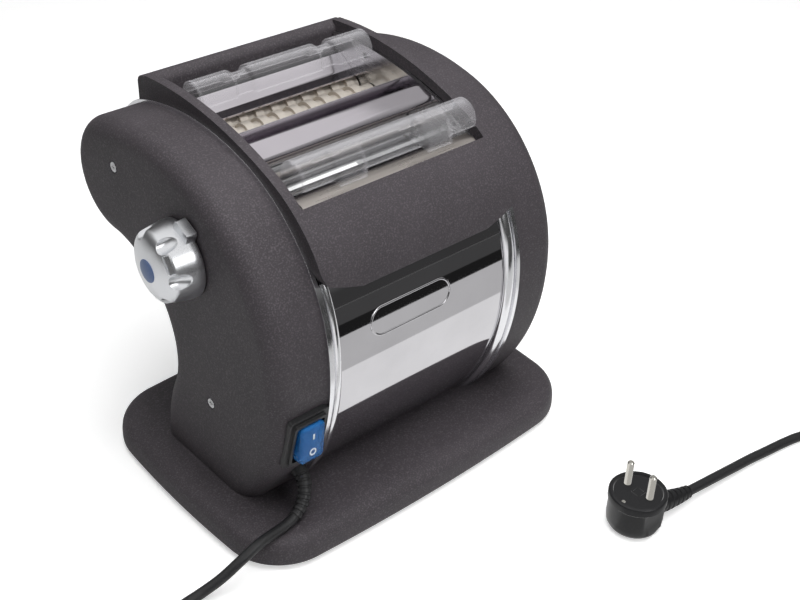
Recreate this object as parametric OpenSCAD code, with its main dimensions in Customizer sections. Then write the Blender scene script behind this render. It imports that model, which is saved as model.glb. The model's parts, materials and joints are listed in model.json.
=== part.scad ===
// Electric pasta maker: two bean-shaped housings on a plate, with three pairs of rollers
// between two side plates. X is to the right, Y to the back and Z up, in millimetres.

/* [Base] */
// Width of the base plate
base_w = 293; // [280:1:306]
// Depth of the base plate, without the bow of its front and back edges
base_d = 198.6; // [192:0.2:205]
// Height of the base plate's top above the table
base_top = 23.5; // [20:0.5:28]
// How far the front and back edges bow out
base_bow = 6.5; // [5:0.5:9]
// How far the side edges bow out
side_bow = 5.6; // [3:0.2:8]
// Radius of the base plate's corners
base_corner = 43.4; // [38:0.2:46]
// Height of the gap under the base plate's rim
rim_gap = 2.5; // [2:0.5:4]
// Radius of a rubber foot
foot_r = 11; // [8:0.5:14]

/* [Housings] */
// Distance between the housings' outer faces
body_w = 243; // [238:1:248]
// Distance between the housings' inner edges
core_w = 162; // [160:0.5:164]
// Radius of the rounded outer edge
edge_r = 13.5; // [11:0.5:14]
// Wall of the housings
housing_wall = 3.5; // [2.5:0.5:4.5]
// Radius of the rear lobe
lobe_r = 41.6; // [40:0.2:43]
// Radius of the hollow at the back
neck_r = 60.6; // [58:0.2:63]

/* [Frame] */
// Thickness of the side plates
plate_t = 3; // [2.5:0.5:3.5]
// Clear width between the side plates
throat_w = 142; // [138:1:143]
// Radius of a tie rod
tie_r = 4; // [3:0.5:5]
// Thickness of the chrome edge strips
strip_t = 3; // [2:0.5:3.5]
// Thickness of the front and rear panels
panel_t = 1.5; // [1:0.25:2]

/* [Rollers] */
// Radius of the smooth rollers
sheet_r = 14.8; // [14.2:0.1:14.9]
// Distance between the smooth rollers' axes at the widest setting
sheet_gap_wide = 32; // [31.8:0.1:32.2]
// Travel of the front smooth roller
gap_travel = 2; // [1.5:0.1:2]
// Radius of the cutter discs
disc_r = 10.9; // [10.6:0.1:10.95]
// Radius of the cutter cores
core_r = 8.4; // [8.1:0.1:8.45]
// Width of a wide noodle
wide_cut = 6.5; // [6:0.5:7]
// Width of a fine noodle
fine_cut = 2; // [2:0.25:2.5]
// Radius of the smooth rollers' journals
journal_r = 5; // [4.5:0.25:5.5]
// Radius of the cutters' journals
cutter_journal_r = 4; // [3.5:0.25:4.25]
// Radial running clearance of every shaft
run_clear = 0.05; // [0.03:0.01:0.08]

/* [Gears] */
// Module of the gear teeth
gear_m = 1.5; // [1.5:0.1:1.5]
// Face width of the gears
gear_w = 7; // [5:0.5:7]

/* [Knob] */
// Radius of the knob's foot
knob_r = 26; // [24:0.5:28]
// Height of the knob
knob_h = 24.6; // [22:0.2:28]
// Radius of the knob's domed face
knob_face_r = 24; // [22:0.5:25]
// Height of the knob's dome above its flank
knob_dome = 7.8; // [6:0.2:9]
// Radius of the knob's cap
cap_r = 7.6; // [6:0.2:8]
// Turn of the knob from the widest to the finest setting
knob_turn = 150; // [120:1:160]

/* [Switch] */
// Width of the switch bezel
bezel_w = 30; // [26:0.5:31]
// Height of the switch bezel
bezel_h = 44; // [40:0.5:48]
// Width of the rocker
rocker_w = 15; // [12:0.5:17]
// Height of the rocker
rocker_h = 26; // [22:0.5:29]

/* [Guards] */
// Radius of the front guard's wide lobes
front_lobe_r = 14.5; // [13:0.5:15]
// Radius of the front guard's narrow necks
front_neck_r = 11.5; // [10:0.5:12]
// Radius of the rear guard's wide lobes
rear_lobe_r = 11; // [10:0.5:12]
// Radius of the rear guard's narrow necks
rear_neck_r = 8; // [6:0.5:8.5]
// Wall of the guards
guard_wall = 1.8; // [1.5:0.1:2.2]

/* [Cord] */
// Diameter of the mains lead
cord_d = 7; // [6:0.5:8]
// Radius of the plug
plug_r = 20; // [18.5:0.5:21]
// Height of the plug
plug_h = 30; // [27:0.5:33]
// Length of the plug's pins
pin_len = 19; // [19:0.5:19]
// Radius of the plug's pins
pin_r = 2.4; // [2.4:0.05:2.4]
// Distance between the plug's pins
pin_pitch = 19; // [19:0.5:19]

/* [Hidden] */
eps = 0.01;
fit_gap = 0.3;

// Side outline of the housings: it starts at the heel on the base and turns through these
// bends, each a radius and a sweep. A minus radius is the hollow at the back.
heel = [51.1, base_top];
body_bends = [
    [113, 26.5], [-neck_r, 116.5], [lobe_r, 161], [187.5, 33.2], [115.1, 71.4], [172.8, 42.8]
];
hood_start = [102, 263.2];
hood_heading = 173.9;
hood_bends = [[278.1, 28.2], [97.2, 31.1], [56.7, 47.7]];
chute_bends = [[113, 26.5], [-neck_r, 27.6], [70, 50], [900, 1.5]];
chord_len = 6;

function normal(h) = [-sin(h), cos(h)];
function turn(r, a) = sign(r) * a;
function bend_centre(p, h, r) = p + r * normal(h);
function bend_end(p, h, r, a) = bend_centre(p, h, r) - r * normal(h + turn(r, a));
function bend_points(p, h, r, a, n) =
    [for (k = [0:n - 1]) bend_centre(p, h, r) - r * normal(h + turn(r, a) * k / n)];
function bend_count(b) = max(3, ceil(abs(b[0]) * b[1] * PI / 180 / chord_len));
function walk(p, h, bends, d, i = 0) =
    i == len(bends) ? [p] :
    let (r = bends[i][0] - d, a = bends[i][1])
    concat(bend_points(p, h, r, a, bend_count(bends[i])),
           walk(bend_end(p, h, r, a), h + turn(r, a), bends, d, i + 1));
function heading_after(h, bends, i = 0) =
    i == len(bends) ? h : heading_after(h + turn(bends[i][0], bends[i][1]), bends, i + 1);
function last(v) = v[len(v) - 1];
function slide_down(p, h, z) = p + (z - p[1]) / sin(h) * [cos(h), sin(h)];

// Outlines set in by d from the outside
function body_line(d) =
    let (p = walk(heel + d * normal(90), 90, body_bends, d), h = heading_after(90, body_bends))
    concat(p, [slide_down(last(p), h, base_top)]);
function hood_line(d) = walk(hood_start + d * normal(hood_heading), hood_heading, hood_bends, d);
function chute_line(d) = walk(heel + d * normal(90), 90, chute_bends, d);
function flip(v) = [for (i = [len(v) - 1:-1:0]) v[i]];

// Centre and radius of the front arc, which carries the switch and the cord outlet
first_bends = [for (i = [0:4]) body_bends[i]];
front_bend = body_bends[5];
front_heading = heading_after(90, first_bends);
front_centre = bend_centre(last(walk(heel, 90, first_bends, 0)), front_heading, front_bend[0]);
front_r = front_bend[0];

// Distances from the middle plane
body_x = body_w / 2;
core_x = core_w / 2;
throat_x = throat_w / 2;
plate_x = throat_x + plate_t;
edge_inset = edge_r + 1;
web_t = 1.6;
web_w = 7.5;
web_x = core_x - web_t;
roller_x = throat_x - 0.7;

// Roller axes, as points in the side view
feed_dir = [0.69, 0.724];
knob_axis = [4, 190];
cam_throw = gap_travel / (1 - cos(knob_turn));
front_sheet = knob_axis - cam_throw * feed_dir;
rear_sheet = front_sheet + sheet_gap_wide * feed_dir;
wheel_teeth = 13;
cutter_pitch = gear_m * wheel_teeth;
front_wide = [55, 223];
rear_wide = front_wide + [cutter_pitch, 0];
front_fine = [97, 218];
fine_dir = [0.9, -0.436];
rear_fine = front_fine + cutter_pitch * fine_dir;
roller_fn = 96;

// Gear train on the right: inner plane for the cutter pairs, middle plane for the smooth
// pair and the idlers, outer plane for the drive
sheet_teeth = 20;
idler_teeth = 20;
drive_teeth = 32;
reduction_teeth = 40;
pinion_teeth = 12;
pair_gear_x = plate_x + 1.2;
train_gear_x = pair_gear_x + gear_w + 1;
drive_gear_x = train_gear_x + gear_w + 2;
shaft_end_x = drive_gear_x + gear_w + 1;
idler_reach = gear_m * (sheet_teeth + idler_teeth) / 2;
wheel_reach = gear_m * (wheel_teeth + idler_teeth) / 2;
function angle_of(v) = atan2(v[1], v[0]);
function polar(r, a) = r * [cos(a), sin(a)];
// Point at distance ra from a and rb from b, on the side below the line from a to b
function meet(a, b, ra, rb) =
    let (d = norm(b - a), t = (ra * ra - rb * rb + d * d) / 2 / d, h = sqrt(ra * ra - t * t), u = (b - a) / d)
    a + t * u + h * [u[1], -u[0]];
front_idler = meet(rear_sheet, rear_wide, idler_reach, wheel_reach);
rear_idler = meet(rear_wide, rear_fine, wheel_reach, wheel_reach);
reduction = rear_sheet + polar(gear_m * (drive_teeth + reduction_teeth) / 2, -118.5);
pinion = reduction + polar(gear_m * (reduction_teeth + pinion_teeth) / 2, -125);
// Tooth angle of a gear that meshes with another whose tooth angle is p1
function mesh_angle(c1, z1, p1, c2, z2) =
    let (a = angle_of(c2 - c1)) a + 180 + (180 - z1 * (p1 - a)) / z2;
sheet_phase = 0;
front_sheet_phase = mesh_angle(rear_sheet, sheet_teeth, sheet_phase, front_sheet, sheet_teeth);
front_idler_phase = mesh_angle(rear_sheet, sheet_teeth, sheet_phase, front_idler, idler_teeth);
rear_wide_phase = mesh_angle(front_idler, idler_teeth, front_idler_phase, rear_wide, wheel_teeth);
rear_idler_phase = mesh_angle(rear_wide, wheel_teeth, rear_wide_phase, rear_idler, idler_teeth);
rear_fine_phase = mesh_angle(rear_idler, idler_teeth, rear_idler_phase, rear_fine, wheel_teeth);
front_wide_phase = mesh_angle(rear_wide, wheel_teeth, rear_wide_phase, front_wide, wheel_teeth);
front_fine_phase = mesh_angle(rear_fine, wheel_teeth, rear_fine_phase, front_fine, wheel_teeth);
reduction_phase = mesh_angle(rear_sheet, drive_teeth, sheet_phase, reduction, reduction_teeth);
pinion_phase = mesh_angle(reduction, reduction_teeth, reduction_phase, pinion, pinion_teeth);

// Fixings
tie_points = [[-62, 150], [-57, 52], [24, 44], [80, 182]];
left_posts = [[81, 219], [-14, 86]];
right_posts = [[115, 192], [-14, 86]];
post_r = 4;
screw_r = 1.8;
head_r = 3.4;
bush_r = journal_r + 3;
cutter_bush_r = cutter_journal_r + 2.5;
stud_r = 3;
idler_shoulder_r = 3.6;
block_w = 20;
motor_axis = [-24, 90];
motor_r = 30;

// Basic shapes
module along_x(x0, x1) {
    translate([x0, 0, 0]) rotate([90, 0, 90]) linear_extrude(x1 - x0) children();
}
module rod_x(at, r, x0, x1) {
    translate([x0, at[0], at[1]]) rotate([0, 90, 0]) cylinder(r = r, h = x1 - x0, $fn = 64);
}
module both_sides() {
    children();
    mirror([1, 0, 0]) children();
}
// Turns a profile of [x, radius] points about an axis along X
module lathe_x(at, points) {
    translate([0, at[0], at[1]]) rotate([0, 90, 0])
        rotate_extrude($fn = roller_fn) polygon([for (p = points) [p[1], p[0]]]);
}
module round_rect(w, h, r) {
    square([w - 2 * r, h], center = true);
    square([w, h - 2 * r], center = true);
    for (sx = [-1, 1], sz = [-1, 1])
        translate([sx * (w / 2 - r), sz * (h / 2 - r)]) circle(r = r, $fn = 32);
}
// Sheet between two outlines, d0 and d1 in from the outside of the body
module body_sheet(d0, d1) {
    polygon(concat(body_line(d0), flip(body_line(d1))));
}
module hood_sheet(d0, d1) {
    polygon(concat(hood_line(d0), flip(hood_line(d1))));
}
module front_frame(angle, x) {
    at = front_centre + polar(front_r, angle);
    translate([x, at[0], at[1]]) rotate([angle - 180, 0, 0]) children();
}

// Base
module base_outline() {
    side_r = (pow(base_w / 2, 2) + pow(base_bow, 2)) / 2 / base_bow;
    end_r = (pow(base_d / 2, 2) + pow(side_bow, 2)) / 2 / side_bow;
    offset(r = base_corner, $fn = 72) offset(delta = -base_corner) intersection() {
        translate([0, side_r - base_d / 2 - base_bow]) circle(r = side_r, $fn = 360);
        translate([0, base_d / 2 + base_bow - side_r]) circle(r = side_r, $fn = 360);
        translate([end_r - base_w / 2, 0]) circle(r = end_r, $fn = 360);
        translate([base_w / 2 - end_r, 0]) circle(r = end_r, $fn = 360);
        square([base_w, base_d + 2 * base_bow], center = true);
    }
}
module base_slice(z, inset) {
    translate([0, 0, z]) linear_extrude(eps) offset(delta = -inset) base_outline();
}
rim_wall = 6;
deck_t = 5;
cover_inset = rim_wall + 0.4;
cover_z = rim_gap + 0.5;
cover_t = 2;
foot_x = base_w / 2 - base_corner - foot_r - 1;
foot_y = base_d / 2 - foot_r - 24.5;
cover_screw_x = foot_x - 14;
cover_screw_y = foot_y + 9;
module base_plate() {
    color("#4a4546") difference() {
        hull() {
            base_slice(rim_gap, 2.5);
            base_slice(rim_gap + 2, 0.6);
            base_slice(rim_gap + 5, 0);
            base_slice(base_top - 9, 0.4);
            base_slice(base_top - 5, 1.8);
            base_slice(base_top - 2.2, 4.4);
            base_slice(base_top - 0.7, 8);
            base_slice(base_top - eps, 13);
        }
        translate([0, 0, -1]) linear_extrude(base_top - deck_t + 1)
            square([base_w - 2 * base_corner, base_d - 2 * rim_wall], center = true);
    }
}
module base_cover() {
    color("#2c2a2b") difference() {
        translate([0, 0, cover_z]) linear_extrude(cover_t)
            round_rect(base_w - 2 * base_corner - 0.8, base_d - 2 * rim_wall - 0.8, 3);
        for (sx = [-1, 1], sy = [-1, 1])
            translate([sx * cover_screw_x, sy * cover_screw_y, -1]) cylinder(r = screw_r, h = 10, $fn = 32);
        for (k = [-3:3])
            translate([k * 9 - 2, -22, 0]) cube([4, 44, 12]);
    }
}
module rubber_feet() {
    color("#1c1c1c") for (sx = [-1, 1], sy = [-1, 1])
        translate([sx * foot_x, sy * foot_y, 0]) {
            cylinder(r1 = foot_r - 1, r2 = foot_r, h = 1.2, $fn = 48);
            translate([0, 0, 1.2]) cylinder(r = foot_r, h = cover_z - 1.2, $fn = 48);
        }
}

// Housings
edge_steps = 6;
edge_rings = concat(
    [[core_x, 0]],
    [for (k = [0:edge_steps]) let (a = 90 * k / edge_steps)
        [body_x - edge_r + edge_r * sin(a), edge_inset * (1 - cos(a))]]
);
// Flat end of the skin, in strips from the back edge to the front edge
function end_face(n) = [for (i = [0:floor((n - 1) / 2) - 1])
    let (j = n - 1 - i) i + 1 < j - 1 ? [i, i + 1, j - 1, j] : [i, i + 1, j]];
module housing_skin() {
    lines = [for (ring = edge_rings) body_line(ring[1])];
    n = len(lines[0]);
    m = len(lines);
    polyhedron(
        points = [for (k = [0:m - 1]) for (p = lines[k]) [edge_rings[k][0], p[0], p[1]]],
        faces = concat(
            end_face(n),
            [for (f = end_face(n)) [for (i = flip(f)) (m - 1) * n + i]],
            [for (k = [0:m - 2], i = [0:n - 1]) let (j = (i + 1) % n)
                [k * n + i, (k + 1) * n + i, (k + 1) * n + j, k * n + j]]
        )
    );
}
// How far the hollow is set in behind the rounded outer edge
rim_inset = 11;
module floor_cut() {
    translate([-200, base_top + housing_wall]) square([400, 300]);
}
module housing_shell(posts) {
    difference() {
        housing_skin();
        along_x(core_x - 1, body_x - edge_r) intersection() {
            polygon(body_line(housing_wall));
            floor_cut();
        }
        along_x(body_x - edge_r - eps, body_x - housing_wall) intersection() {
            polygon(body_line(rim_inset));
            floor_cut();
        }
        for (p = posts) {
            rod_x(p, screw_r + 0.4, body_x - 10, body_x + 1);
            rod_x(p, head_r + 0.8, body_x - 1.6, body_x + 1);
        }
    }
}
module right_housing() {
    color("#4f4a4b") housing_shell(right_posts);
}
module left_housing() {
    color("#4f4a4b") difference() {
        mirror([1, 0, 0]) housing_shell(left_posts);
        rod_x(knob_axis, knob_bush_r, -body_x - 1, -body_x + 12);
        front_frame(switch_angle, switch_x) {
            translate([-switch_body_w / 2, -8, -switch_body_h / 2]) cube([switch_body_w, 22, switch_body_h]);
            upright(-8, bezel_seat) round_rect(bezel_w, bezel_h, bezel_corner);
        }
        outlet_place() translate([0, 0, -14]) cylinder(r = outlet_r, h = 22, $fn = 48);
    }
}
module housing_screws() {
    color("#b9b9bb") {
        for (p = right_posts) housing_screw(p);
        mirror([1, 0, 0]) for (p = left_posts) housing_screw(p);
    }
}
module housing_screw(p) {
    difference() {
        union() {
            rod_x(p, head_r, body_x - 1.6, body_x - 0.2);
            rod_x(p, screw_r, body_x - 14, body_x - 1.6);
        }
        translate([body_x - 1.1, p[0], p[1]]) {
            translate([0, -head_r * 0.55, -0.4]) cube([2, head_r * 1.1, 0.8]);
            translate([0, -0.4, -head_r * 0.55]) cube([2, 0.8, head_r * 1.1]);
        }
    }
}
module housing_post(p) {
    difference() {
        rod_x(p, post_r, plate_x, body_x - housing_wall);
        rod_x(p, screw_r, body_x - 14.2, body_x);
    }
}
module housing_posts() {
    color("#9a9a9c") {
        for (p = right_posts) housing_post(p);
        mirror([1, 0, 0]) for (p = left_posts) housing_post(p);
    }
}

// Frame
plate_inset = 5;
plate_drop = 7.5;
module plate_outline() {
    difference() {
        union() {
            polygon(body_line(plate_inset));
            intersection() {
                polygon(hood_line(plate_drop));
                translate([-200, strip_top + 2]) square([400, 100]);
            }
            polygon([[100, 200], [100, 250], [90, 254], [0, 240], [-60, 200], [-60, 120]]);
        }
        translate([crossbar_y - fit_gap, crossbar_top - crossbar_h - fit_gap]) square([30, 60]);
    }
}
module plate_holes() {
    for (p = [front_wide, rear_wide, front_fine, rear_fine])
        translate(p) circle(r = cutter_bush_r, $fn = 64);
    translate(rear_sheet) circle(r = bush_r, $fn = 64);
    for (p = tie_points) translate(p) circle(r = screw_r + 0.4, $fn = 32);
    // Slot of the sliding bearing block
    translate(front_sheet) rotate(angle_of(feed_dir))
        translate([-block_w / 2 - 0.1, -block_w / 2 - run_clear])
            square([block_w + gap_travel + 0.2, block_w + 2 * run_clear]);
    for (p = guard_pegs) translate(p) circle(r = peg_r, $fn = 32);
}
module right_side_plate() {
    color("#c9c9cc") along_x(throat_x, plate_x) difference() {
        plate_outline();
        plate_holes();
        for (p = [front_idler, rear_idler, reduction]) translate(p) circle(r = stud_r - 0.5, $fn = 48);
        translate(pinion) circle(r = 9, $fn = 48);
    }
}
module left_side_plate() {
    color("#c9c9cc") along_x(-plate_x, -throat_x) difference() {
        plate_outline();
        plate_holes();
    }
}
strip_rise = 0.6;
strip_top = 190;
module edge_strip() {
    along_x(web_x, core_x) difference() {
        body_sheet(0, web_w);
        translate([-200, -100]) square([400, 100 + base_top]);
    }
    along_x(throat_x, web_x) intersection() {
        body_sheet(-strip_rise, strip_t - strip_rise);
        translate([-200, base_top]) square([198, strip_top - base_top]);
    }
}
module right_edge_strip() {
    color("#dcdce0") edge_strip();
}
module left_edge_strip() {
    color("#dcdce0") mirror([1, 0, 0]) edge_strip();
}
module tie_rods() {
    color("#8f8f92") for (p = tie_points) {
        rod_x(p, tie_r, -throat_x, throat_x);
        both_sides() {
            rod_x(p, screw_r + 0.4, throat_x, plate_x);
            rod_x(p, head_r, plate_x, plate_x + 1);
        }
    }
}

// Front panel with a raised blank cartouche
panel_inset = 1.8;
badge_w = 68;
badge_h = 21;
badge_x = -12;
badge_z = 152;
badge_rim = 1.6;
badge_rise = 0.7;
module front_panel() {
    panel_x = throat_x - fit_gap;
    color("#d9d9dd") {
        along_x(-panel_x, panel_x) intersection() {
            body_sheet(panel_inset, panel_inset + panel_t);
            translate([-200, base_top]) square([170, 174]);
        }
        intersection() {
            along_x(-badge_w, badge_w) body_sheet(panel_inset - badge_rise, panel_inset + panel_t / 2);
            translate([badge_x, -60, badge_z]) rotate([90, 0, 0]) linear_extrude(60) difference() {
                round_rect(badge_w, badge_h, badge_h / 2 - 0.05);
                round_rect(badge_w - 2 * badge_rim, badge_h - 2 * badge_rim, badge_h / 2 - badge_rim - 0.05);
            }
        }
    }
}
module rear_panel() {
    panel_x = throat_x - fit_gap;
    color("#c4c4c8") along_x(-panel_x, panel_x)
        polygon(concat(chute_line(panel_inset), flip(chute_line(panel_inset + panel_t))));
}

// Hood
apron_y = -54;
apron_t = 3;
apron_low_z = 178.4;
apron_low_r = 208;
apron_side_z = 185;
apron_h = 200;
apron_corner = 20;
rail_in = plate_x + fit_gap;
crossbar_y = 98;
crossbar_w = 13;
crossbar_h = 24.5;
crossbar_top = 262;
module apron_face() {
    intersection() {
        translate([0, apron_low_z + apron_low_r]) circle(r = apron_low_r, $fn = 200);
        translate([0, apron_side_z + apron_h / 2]) round_rect(core_w, apron_h, apron_corner);
    }
}
module hood_frame() {
    color("#3a3637") {
        intersection() {
            union() {
                along_x(-core_x, core_x) intersection() {
                    hood_sheet(0, apron_t);
                    translate([-200, 100]) square([200 + apron_y, 200]);
                }
                both_sides() {
                    along_x(rail_in, core_x) hood_rail();
                    along_x(rail_in, web_x - fit_gap) hood_tongue();
                }
            }
            union() {
                rotate([90, 0, 0]) linear_extrude(200) apron_face();
                translate([-150, -30, 0]) cube([300, 200, 300]);
            }
        }
        along_x(-core_x, core_x) difference() {
            hood_crossbar();
            polygon(body_line(-fit_gap));
        }
        along_x(-web_x + fit_gap, web_x - fit_gap) hood_crossbar();
        along_x(-web_x + fit_gap, web_x - fit_gap) intersection() {
            body_sheet(0.5, 3.5);
            translate([crossbar_y - 2, 176]) square([60, 66]);
        }
    }
}
module hood_crossbar() {
    translate([crossbar_y + crossbar_w / 2, crossbar_top - crossbar_h / 2])
        round_rect(crossbar_w, crossbar_h, crossbar_w / 2 - 0.1);
}
module hood_rail() {
    difference() {
        polygon(concat(hood_line(0), [[0, 170], [60, 200], [100, 235]]));
        polygon(body_line(-strip_rise - fit_gap));
    }
}
module hood_tongue() {
    difference() {
        polygon(body_line(fit_gap));
        polygon(body_line(web_w));
        translate([-200, 0]) square([400, 180]);
        translate([crossbar_y + 12, 0]) square([100, 300]);
    }
}

// Clear finger guards: half tubes with wide lobes and narrow necks, on end arms with pegs
front_guard_axis = [-39, 244];
front_lobe_axis = [-40.6, 241.5];
rear_guard_axis = [64, 258];
guard_end_x = throat_x - 1;
peg_r = 2;
guard_drop = 4;
front_peg = [-30, 233];
rear_peg = [62, 250];
guard_pegs = [front_peg, rear_peg];
front_lobes = [[-46, -24], [24, 46]];
rear_lobes = [[-guard_end_x, -41], [-28, 28], [41, guard_end_x]];
// Half disc above the axis, with a straight drop at the front
module guard_section(axis, r, drop) {
    translate(axis) {
        intersection() {
            circle(r = r, $fn = 96);
            translate([-r, 0]) square([2 * r, r]);
        }
        translate([-r, -drop]) square([guard_wall, drop + guard_wall]);
    }
}
module guard_tube(axis, r, drop, x0, x1) {
    along_x(x0, x1) difference() {
        guard_section(axis, r, drop);
        translate(axis) circle(r = r - guard_wall, $fn = 96);
    }
    for (x = [x0, x1 - guard_wall]) along_x(x, x + guard_wall) guard_section(axis, r, drop);
}
module guard(axis, lobe_axis, lobes, neck_r, lobe_r, drop, peg) {
    guard_tube(axis, neck_r, drop, -guard_end_x, guard_end_x);
    for (l = lobes) guard_tube(lobe_axis, lobe_r, drop, l[0], l[1]);
    both_sides() {
        along_x(guard_end_x - guard_wall, guard_end_x) arm_section(axis, peg);
        rod_x(peg, peg_r, guard_end_x, throat_x + 1.5);
    }
}
module arm_section(axis, peg) {
    u = (peg - axis) / norm(peg - axis);
    n = [u[1], -u[0]];
    polygon([axis + 6 * n, axis - 6 * n, peg - 4 * n, peg + 4 * n]);
    translate(peg) circle(r = 4, $fn = 32);
}
module front_guard() {
    color([0.86, 0.88, 0.92, 0.4]) guard(
        front_guard_axis, front_lobe_axis, front_lobes, front_neck_r, front_lobe_r, guard_drop, front_peg
    );
}
module rear_guard() {
    color([0.86, 0.88, 0.92, 0.4]) guard(
        rear_guard_axis, rear_guard_axis, rear_lobes, rear_neck_r, rear_lobe_r, guard_drop, rear_peg
    );
}

// Polished plates that lead the dough into the rollers
feed_x = throat_x;
feed_t = 1.5;
function across(p, i) =
    let (v = p[min(i + 1, len(p) - 1)] - p[max(i - 1, 0)]) feed_t / 2 / norm(v) * [v[1], -v[0]];
module feed_strip(points) {
    ids = [for (i = [0:len(points) - 1]) i];
    along_x(-feed_x, feed_x)
        polygon(concat([for (i = ids) points[i] + across(points, i)],
                       [for (i = flip(ids)) points[i] - across(points, i)]));
}
module front_feed_plate() {
    color("#d6d2cc") feed_strip([[-59, 220.5], [-54, 226], [-48, 230.3], [-41, 230.3], [-20, 212], [-13, 203.5]]);
}
module middle_feed_plate() {
    color("#d9d9dd") feed_strip([
        [11, 225], [-9, 241], [-7, 244.5], [5, 249.2], [8, 246.5], [9, 237],
        [12, 235], [15, 238], [16.5, 251]
    ]);
}
module rear_feed_plates() {
    color("#d9d9dd") {
        feed_strip([[29.5, 251], [32, 255], [41, 255], [49, 246.5], [57, 237]]);
        feed_strip([[79, 236], [82, 239.5], [86, 238.5], [89, 232.5]]);
    }
}

// Rollers
chamfer = 0.6;
module smooth_roller(at, left_end, right_end) {
    lathe_x(at, [
        [left_end, 0], [left_end, journal_r - chamfer], [left_end + chamfer, journal_r],
        [-roller_x, journal_r], [-roller_x, sheet_r - chamfer], [-roller_x + chamfer, sheet_r],
        [roller_x - chamfer, sheet_r], [roller_x, sheet_r - chamfer], [roller_x, journal_r],
        [right_end - chamfer, journal_r], [right_end, journal_r - chamfer], [right_end, 0]
    ]);
}
// Disc edges of a cutter: discs w wide and w apart, the first one starting at x0
function cutter_steps(w, count, x0, side) = [
    for (k = [0:count - 1]) let (x = x0 + 2 * w * k) each [
        [x + side, core_r], [x + side, disc_r], [x + w - side, disc_r], [x + w - side, core_r]
    ]
];
module cutter_roller(at, w, shift, right_end) {
    count = floor((2 * roller_x - 4) / (2 * w));
    x0 = -w * count + shift * w;
    lathe_x(at, concat(
        [[-plate_x, 0], [-plate_x, cutter_journal_r], [-roller_x, cutter_journal_r], [-roller_x, core_r]],
        cutter_steps(w, count, x0, 0.05),
        [[roller_x, core_r], [roller_x, cutter_journal_r], [right_end, cutter_journal_r], [right_end, 0]]
    ));
}
pair_shaft_x = pair_gear_x + gear_w;
train_shaft_x = train_gear_x + gear_w + 0.5;
module front_sheet_roller() {
    color("#cfcfd3") smooth_roller(front_sheet, -plate_x - 1, train_shaft_x);
}
module rear_sheet_roller() {
    color("#cfcfd3") smooth_roller(rear_sheet, -plate_x, shaft_end_x);
}
module front_wide_cutter() {
    color("#c3b9aa") cutter_roller(front_wide, wide_cut, 0, pair_shaft_x);
}
module rear_wide_cutter() {
    color("#c3b9aa") cutter_roller(rear_wide, wide_cut, 1, train_shaft_x);
}
module front_fine_cutter() {
    color("#c3b9aa") cutter_roller(front_fine, fine_cut, 0, pair_shaft_x);
}
module rear_fine_cutter() {
    color("#c3b9aa") cutter_roller(rear_fine, fine_cut, 1, train_shaft_x);
}

// Scrapers and combs stand radially to their roller, from r0 to r1 at the given angle
comb_t = 1.2;
module radial_blade(at, angle, r0, r1) {
    along_x(-feed_x, feed_x) translate(at) rotate(angle)
        translate([r0, -comb_t / 2]) square([r1 - r0, comb_t]);
}
module comb_fingers(at, angle, w, shift) {
    count = floor((2 * roller_x - 4) / (2 * w));
    x0 = -w * count + shift * w + w;
    finger_w = w - 0.5;
    for (k = [0:count - 2])
        along_x(x0 + 2 * w * k + 0.25, x0 + 2 * w * k + 0.25 + finger_w) translate(at) rotate(angle)
            translate([core_r + 0.35, -comb_t / 2]) square([disc_r - core_r + 0.3, comb_t]);
}
module comb(at, angle, w, shift, r1) {
    radial_blade(at, angle, disc_r + fit_gap, r1);
    comb_fingers(at, angle, w, shift);
}
module sheet_scrapers() {
    color("#b5b5b8") {
        radial_blade(front_sheet, -112, sheet_r + fit_gap, sheet_r + 4.5);
        radial_blade(rear_sheet, -35, sheet_r + fit_gap, sheet_r + 9);
    }
}
module wide_cutter_combs() {
    color("#d0d0d3") {
        comb(front_wide, 180, wide_cut, 0, disc_r + 3.2);
        comb(rear_wide, -62, wide_cut, 1, disc_r + 9);
    }
}
module fine_cutter_combs() {
    color("#d0d0d3") {
        comb(front_fine, -112, fine_cut, 0, disc_r + 7);
        comb(rear_fine, -18, fine_cut, 1, disc_r + 6);
    }
}

// Bushes, bearing blocks and gears
module bush(at, r_out, r_in, x0, x1) {
    difference() {
        rod_x(at, r_out, x0, x1);
        rod_x(at, r_in + run_clear, x0 - 1, x1 + 1);
    }
}
knob_shaft_r = 4;
knob_bush_r = 7.5;
cam_pin_r = 2;
cam_pin_len = 6;
module shaft_bushes() {
    color("#b08d57") {
        both_sides() {
            for (p = [front_wide, rear_wide, front_fine, rear_fine])
                bush(p, cutter_bush_r, cutter_journal_r, throat_x, plate_x);
            bush(rear_sheet, bush_r, journal_r, throat_x, plate_x);
        }
        bush(knob_axis, knob_bush_r, knob_shaft_r, -body_x, -body_x + 12);
    }
}
module block_body(x0, x1) {
    along_x(x0, x1) translate(front_sheet) rotate(angle_of(feed_dir)) square(block_w, center = true);
}
cam_x = plate_x + 4;
module bearing_blocks() {
    color("#b08d57") {
        difference() {
            union() {
                block_body(-cam_x - cam_pin_len, -throat_x);
                along_x(-cam_x - cam_pin_len, -plate_x - 0.2) translate(front_sheet)
                    rotate(angle_of(feed_dir)) square([block_w, block_w + 5], center = true);
            }
            rod_x(front_sheet, journal_r + run_clear, -cam_x + 1.5, -throat_x + 1);
            translate([-cam_x - cam_pin_len - 1, front_sheet[0], front_sheet[1]])
                rotate([angle_of(feed_dir), 0, 0])
                    translate([0, -cam_pin_r - 0.4, -cam_pin_r - cam_throw - 0.3])
                        cube([cam_pin_len + 1.2, 2 * cam_pin_r + 0.8, 2 * (cam_pin_r + cam_throw + 0.3)]);
        }
        difference() {
            union() {
                block_body(throat_x, plate_x + 3);
                along_x(plate_x + 0.2, plate_x + 3) translate(front_sheet)
                    rotate(angle_of(feed_dir)) square([block_w, block_w + 5], center = true);
            }
            rod_x(front_sheet, journal_r + run_clear, throat_x - 1, plate_x + 4);
        }
    }
}
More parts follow.
